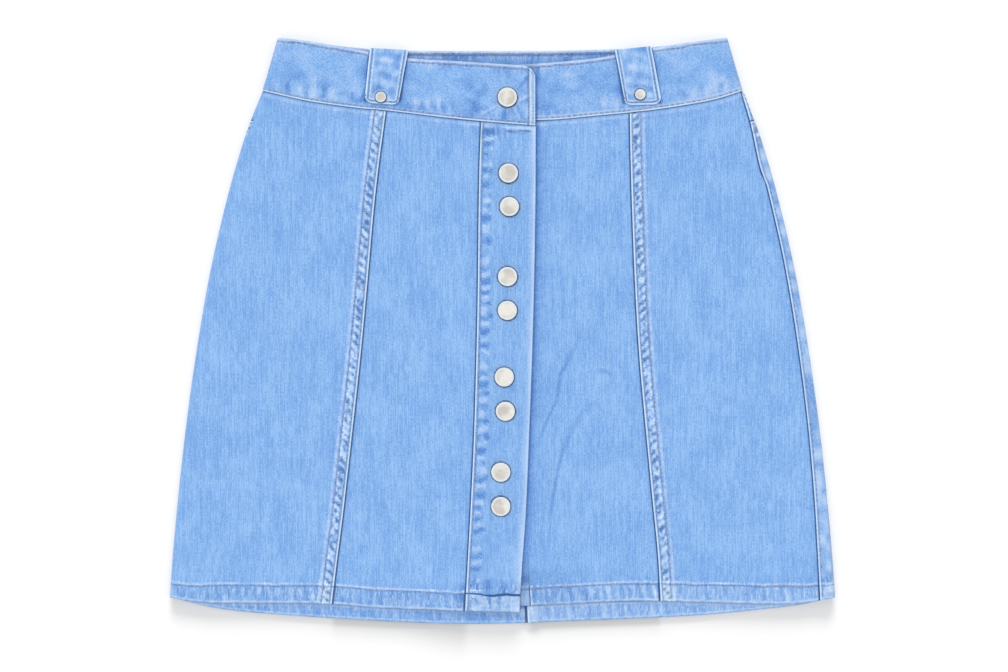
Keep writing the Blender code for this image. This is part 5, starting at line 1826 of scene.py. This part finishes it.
def metal(name, dark, pale, rough, smooth, scale):
    finish, tree, shader = new_finish(name)
    place = node(tree, "ShaderNodeTexCoord").outputs["Object"]
    clouds = node(tree, "ShaderNodeTexNoise", {"Vector": place, "Scale": scale, "Detail": 3.0}).outputs[0]
    inputs = {"Vector": place, "Scale": BRUSHED, "Rotation": (0, 0, 0.5)}
    brushed = node(tree, "ShaderNodeMapping", inputs).outputs[0]
    lines = node(tree, "ShaderNodeTexNoise", {"Vector": brushed, "Scale": 1.0, "Detail": 2.0}).outputs[0]
    put(shader["Base Color"], blend_colour(tree, rescale(tree, clouds, 0.35, 0.65), dark, pale))
    put(shader["Roughness"], rescale(tree, lines, 0.3, 0.7, rough, smooth))
    bump = node(tree, "ShaderNodeBump", {"Height": lines, "Strength": 0.25, "Distance": 0.05 * MM})
    put(shader["Normal"], bump.outputs[0])
    put(shader["Metallic"], 1.0)
    return finish


CAP_LIGHT = 0.86  # the sky alone, which is all that the caps mirror
CAP_FINISHES = (
    metal("snap_face", seen(208, 203, 196, CAP_LIGHT), seen(240, 237, 230, CAP_LIGHT), 0.5, 0.38, 90.0),
    # the rim's pale blue is a painted reflection of the cloth round the cap
    metal("snap_rim", seen(220, 231, 243, CAP_LIGHT), seen(234, 242, 250, CAP_LIGHT), 0.3, 0.2, 300.0),
    # the dark oxide also stands for a painted shadow ring at the cap's edge
    metal("snap_oxide_and_shadow", seen(60, 66, 82, CAP_LIGHT), seen(92, 100, 118, CAP_LIGHT), 0.6, 0.45, 300.0),
)
FACE, RIM, OXIDE_AND_SHADOW = range(3)

# %% Turn a cap
SNAP_HEIGHT = 2.5 * MM
LOOP_SNAP_HEIGHT = 1.8 * MM
CAP_PROFILE = (
    (0.0, 0.86), (0.3, 0.855), (0.6, 0.84), (0.74, 0.82), (0.77, 0.8), (0.8, 0.83), (0.85, 0.85),
    (0.9, 0.83), (0.94, 0.77), (0.96, 0.7), (0.985, 0.55), (0.995, 0.42), (0.99, 0.3), (0.97, 0.16),
    (0.92, 0.05), (0.6, 0.0), (0.0, 0.0),
)  # shares of the radius and of the height
CAP_STEPS = 48
# past this share of the radius the dark oxide is a painted shadow ring at the cap's edge
RIM_FROM, OXIDE_AND_SHADOW_FROM = 0.78, 0.95


def finish_at(away, height):
    """Which finish a cap has at shares of its radius and its height. The oxide at the rim's outer edge is a
    painted shadow ring.
    """
    if away > OXIDE_AND_SHADOW_FROM or height < 1 / 3:
        return OXIDE_AND_SHADOW
    return RIM if away > RIM_FROM else FACE


def cap(snap, radius, height, seat):
    """A cap turned from the profile, seated on the cloth."""
    bm = bmesh.new()
    rim = [bm.verts.new((radius * r, 0, height * h)) for r, h in CAP_PROFILE]
    edges = [bm.edges.new(pair) for pair in zip(rim, rim[1:])]
    turn = {"cent": (0, 0, 0), "axis": (0, 0, 1), "angle": 2 * math.pi, "steps": CAP_STEPS}
    bmesh.ops.spin(bm, geom=rim + edges, use_merge=True, **turn)
    bmesh.ops.remove_doubles(bm, verts=bm.verts[:], dist=MERGE)
    bmesh.ops.recalc_face_normals(bm, faces=bm.faces[:])
    for face in bm.faces:
        middle = face.calc_center_median()
        face.material_index = finish_at(math.hypot(middle.x, middle.y) / radius, middle.z / height)
        face.smooth = True
    bmesh.ops.translate(bm, verts=bm.verts[:], vec=(snap.x * MM, snap.y * MM, seat + SEAM_GAP))
    piece = mesh_piece(snap.name + "_cap", bm)
    for finish in CAP_FINISHES:
        piece.data.materials.append(finish)
    return piece


def seat_of(name):
    """The lowest point of a cap's node, less the gap that it keeps to the cloth."""
    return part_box(name)[0].z - SEAM_GAP


large_snaps = (*PLACKET_SNAPS, WAIST_SNAP)
caps = [cap(snap, SNAP_RADIUS, SNAP_HEIGHT, seat_of(snap.name)) for snap in large_snaps]
caps += [cap(snap, LOOP_SNAP_RADIUS, LOOP_SNAP_HEIGHT, seat_of(snap.name)) for snap in LOOP_SNAPS]
print("caps:", len(caps))

# %% [markdown]
# ## Hang each piece on the body
# Every piece rides on the one body. Each cloth piece and each cap stands in for its node, which is hidden.


cloths = [side_right, side_left, centre_right, centre_left, placket_upper, placket_under, *backs.values()]
cloths += [band_right, band_left, band_back, *loops]
for cloth in cloths:
    name = cloth.node
    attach(cloth.piece, "root")
    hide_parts(name)
for piece in stitches.values():
    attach(piece, "root")
for piece in caps:
    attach(piece, "root")
    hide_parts(piece.name.removesuffix("_cap"))

# %% [markdown]
# ## Table, light and camera
# The skirt lies on a white table and is looked at from straight above, so the outline is drawn true. An
# even white sky lights cloth without hard shadows. A soft lamp over the waist gives the folds their form,
# and a few low ones that light only the table leave a shadow that fades out below the hem. The lowest is
# held back by the centre fronts alone, so the shadow is longest in the middle and soft at the corners.

# %% The table
TABLE_SIZE = 6.0
TABLE_DROP = 0.3 * MM
TABLE_WHITE = (0.75, 0.75, 0.75, 1.0)
bm = bmesh.new()
bmesh.ops.create_grid(bm, x_segments=1, y_segments=1, size=TABLE_SIZE / 2)
bmesh.ops.translate(bm, verts=bm.verts[:], vec=(0, 0, -TABLE_DROP))
table = mesh_piece("table", bm)
table_finish, _, shader = new_finish("table_white")
put(shader["Base Color"], TABLE_WHITE)
put(shader["Roughness"], 0.9)
put(shader["Specular IOR Level"], 0.0)
table.data.materials.append(table_finish)
table_group = bpy.data.collections.new("table_group")
table_group.objects.link(table)
table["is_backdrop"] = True

# %% The light
SKY = 0.86
world = bpy.data.worlds.new("sky")
bpy.context.scene.world = world
world.use_nodes = True
world.node_tree.nodes["Background"].inputs["Color"].default_value = (1, 1, 1, 1)
world.node_tree.nodes["Background"].inputs["Strength"].default_value = SKY


def sun(name, towards, strength, spread_angle):
    """A soft distant lamp. towards is the direction in which its light travels."""
    data = bpy.data.lights.new(name, "SUN")
    data.energy = strength
    data.angle = math.radians(spread_angle)
    lamp = in_scene(name, data)
    lamp.rotation_euler = Vector(towards).to_track_quat("-Z", "Y").to_euler()
    return lamp


cloth_group = bpy.data.collections.new("cloth_group")
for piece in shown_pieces():
    if piece not in caps:
        cloth_group.objects.link(piece)
waist_lamp = sun("waist_lamp", (0.4, -0.55, -1.0), 1.05, 45)
waist_lamp.light_linking.receiver_collection = cloth_group
middle_group = bpy.data.collections.new("middle_group")
for cloth in (centre_right, centre_left):
    middle_group.objects.link(cloth.piece)
TableLamp = namedtuple("TableLamp", "height turn strength size blockers")
TABLE_LAMPS = (
    TableLamp(18.5, -12, 0.95, 20, None),
    TableLamp(18.5, 0, 1.7, 20, None),
    TableLamp(18.5, 12, 0.95, 20, None),
    TableLamp(14, 0, 2.1, 12, middle_group),
)  # height, turn and size in degrees
for lamp in TABLE_LAMPS:
    drop, aside = math.radians(lamp.height), math.radians(lamp.turn)
    towards = (math.sin(aside) * math.cos(drop), -math.cos(aside) * math.cos(drop), -math.sin(drop))
    light = sun("table_lamp", towards, lamp.strength, lamp.size)
    light.light_linking.receiver_collection = table_group
    if lamp.blockers:
        light.light_linking.blocker_collection = lamp.blockers

# %% The camera, straight above
LENS, SENSOR = 85.0, 36.0
FRAME_WIDTH = 756.0 * MM  # what the picture takes in at the cloth's height
CLOTH_LEVEL = 5.0 * MM
VIEW_CENTRE = (1.1 * MM, -4.5 * MM)
camera_data = bpy.data.cameras.new("camera")
camera_data.lens = LENS
camera_data.sensor_width = SENSOR
camera = in_scene("camera", camera_data)
camera.location = (*VIEW_CENTRE, CLOTH_LEVEL + FRAME_WIDTH * LENS / SENSOR)
bpy.context.scene.camera = camera
bpy.context.scene.view_settings.view_transform = "Standard"
print("camera height:", round(camera.location.z, 3), "m")
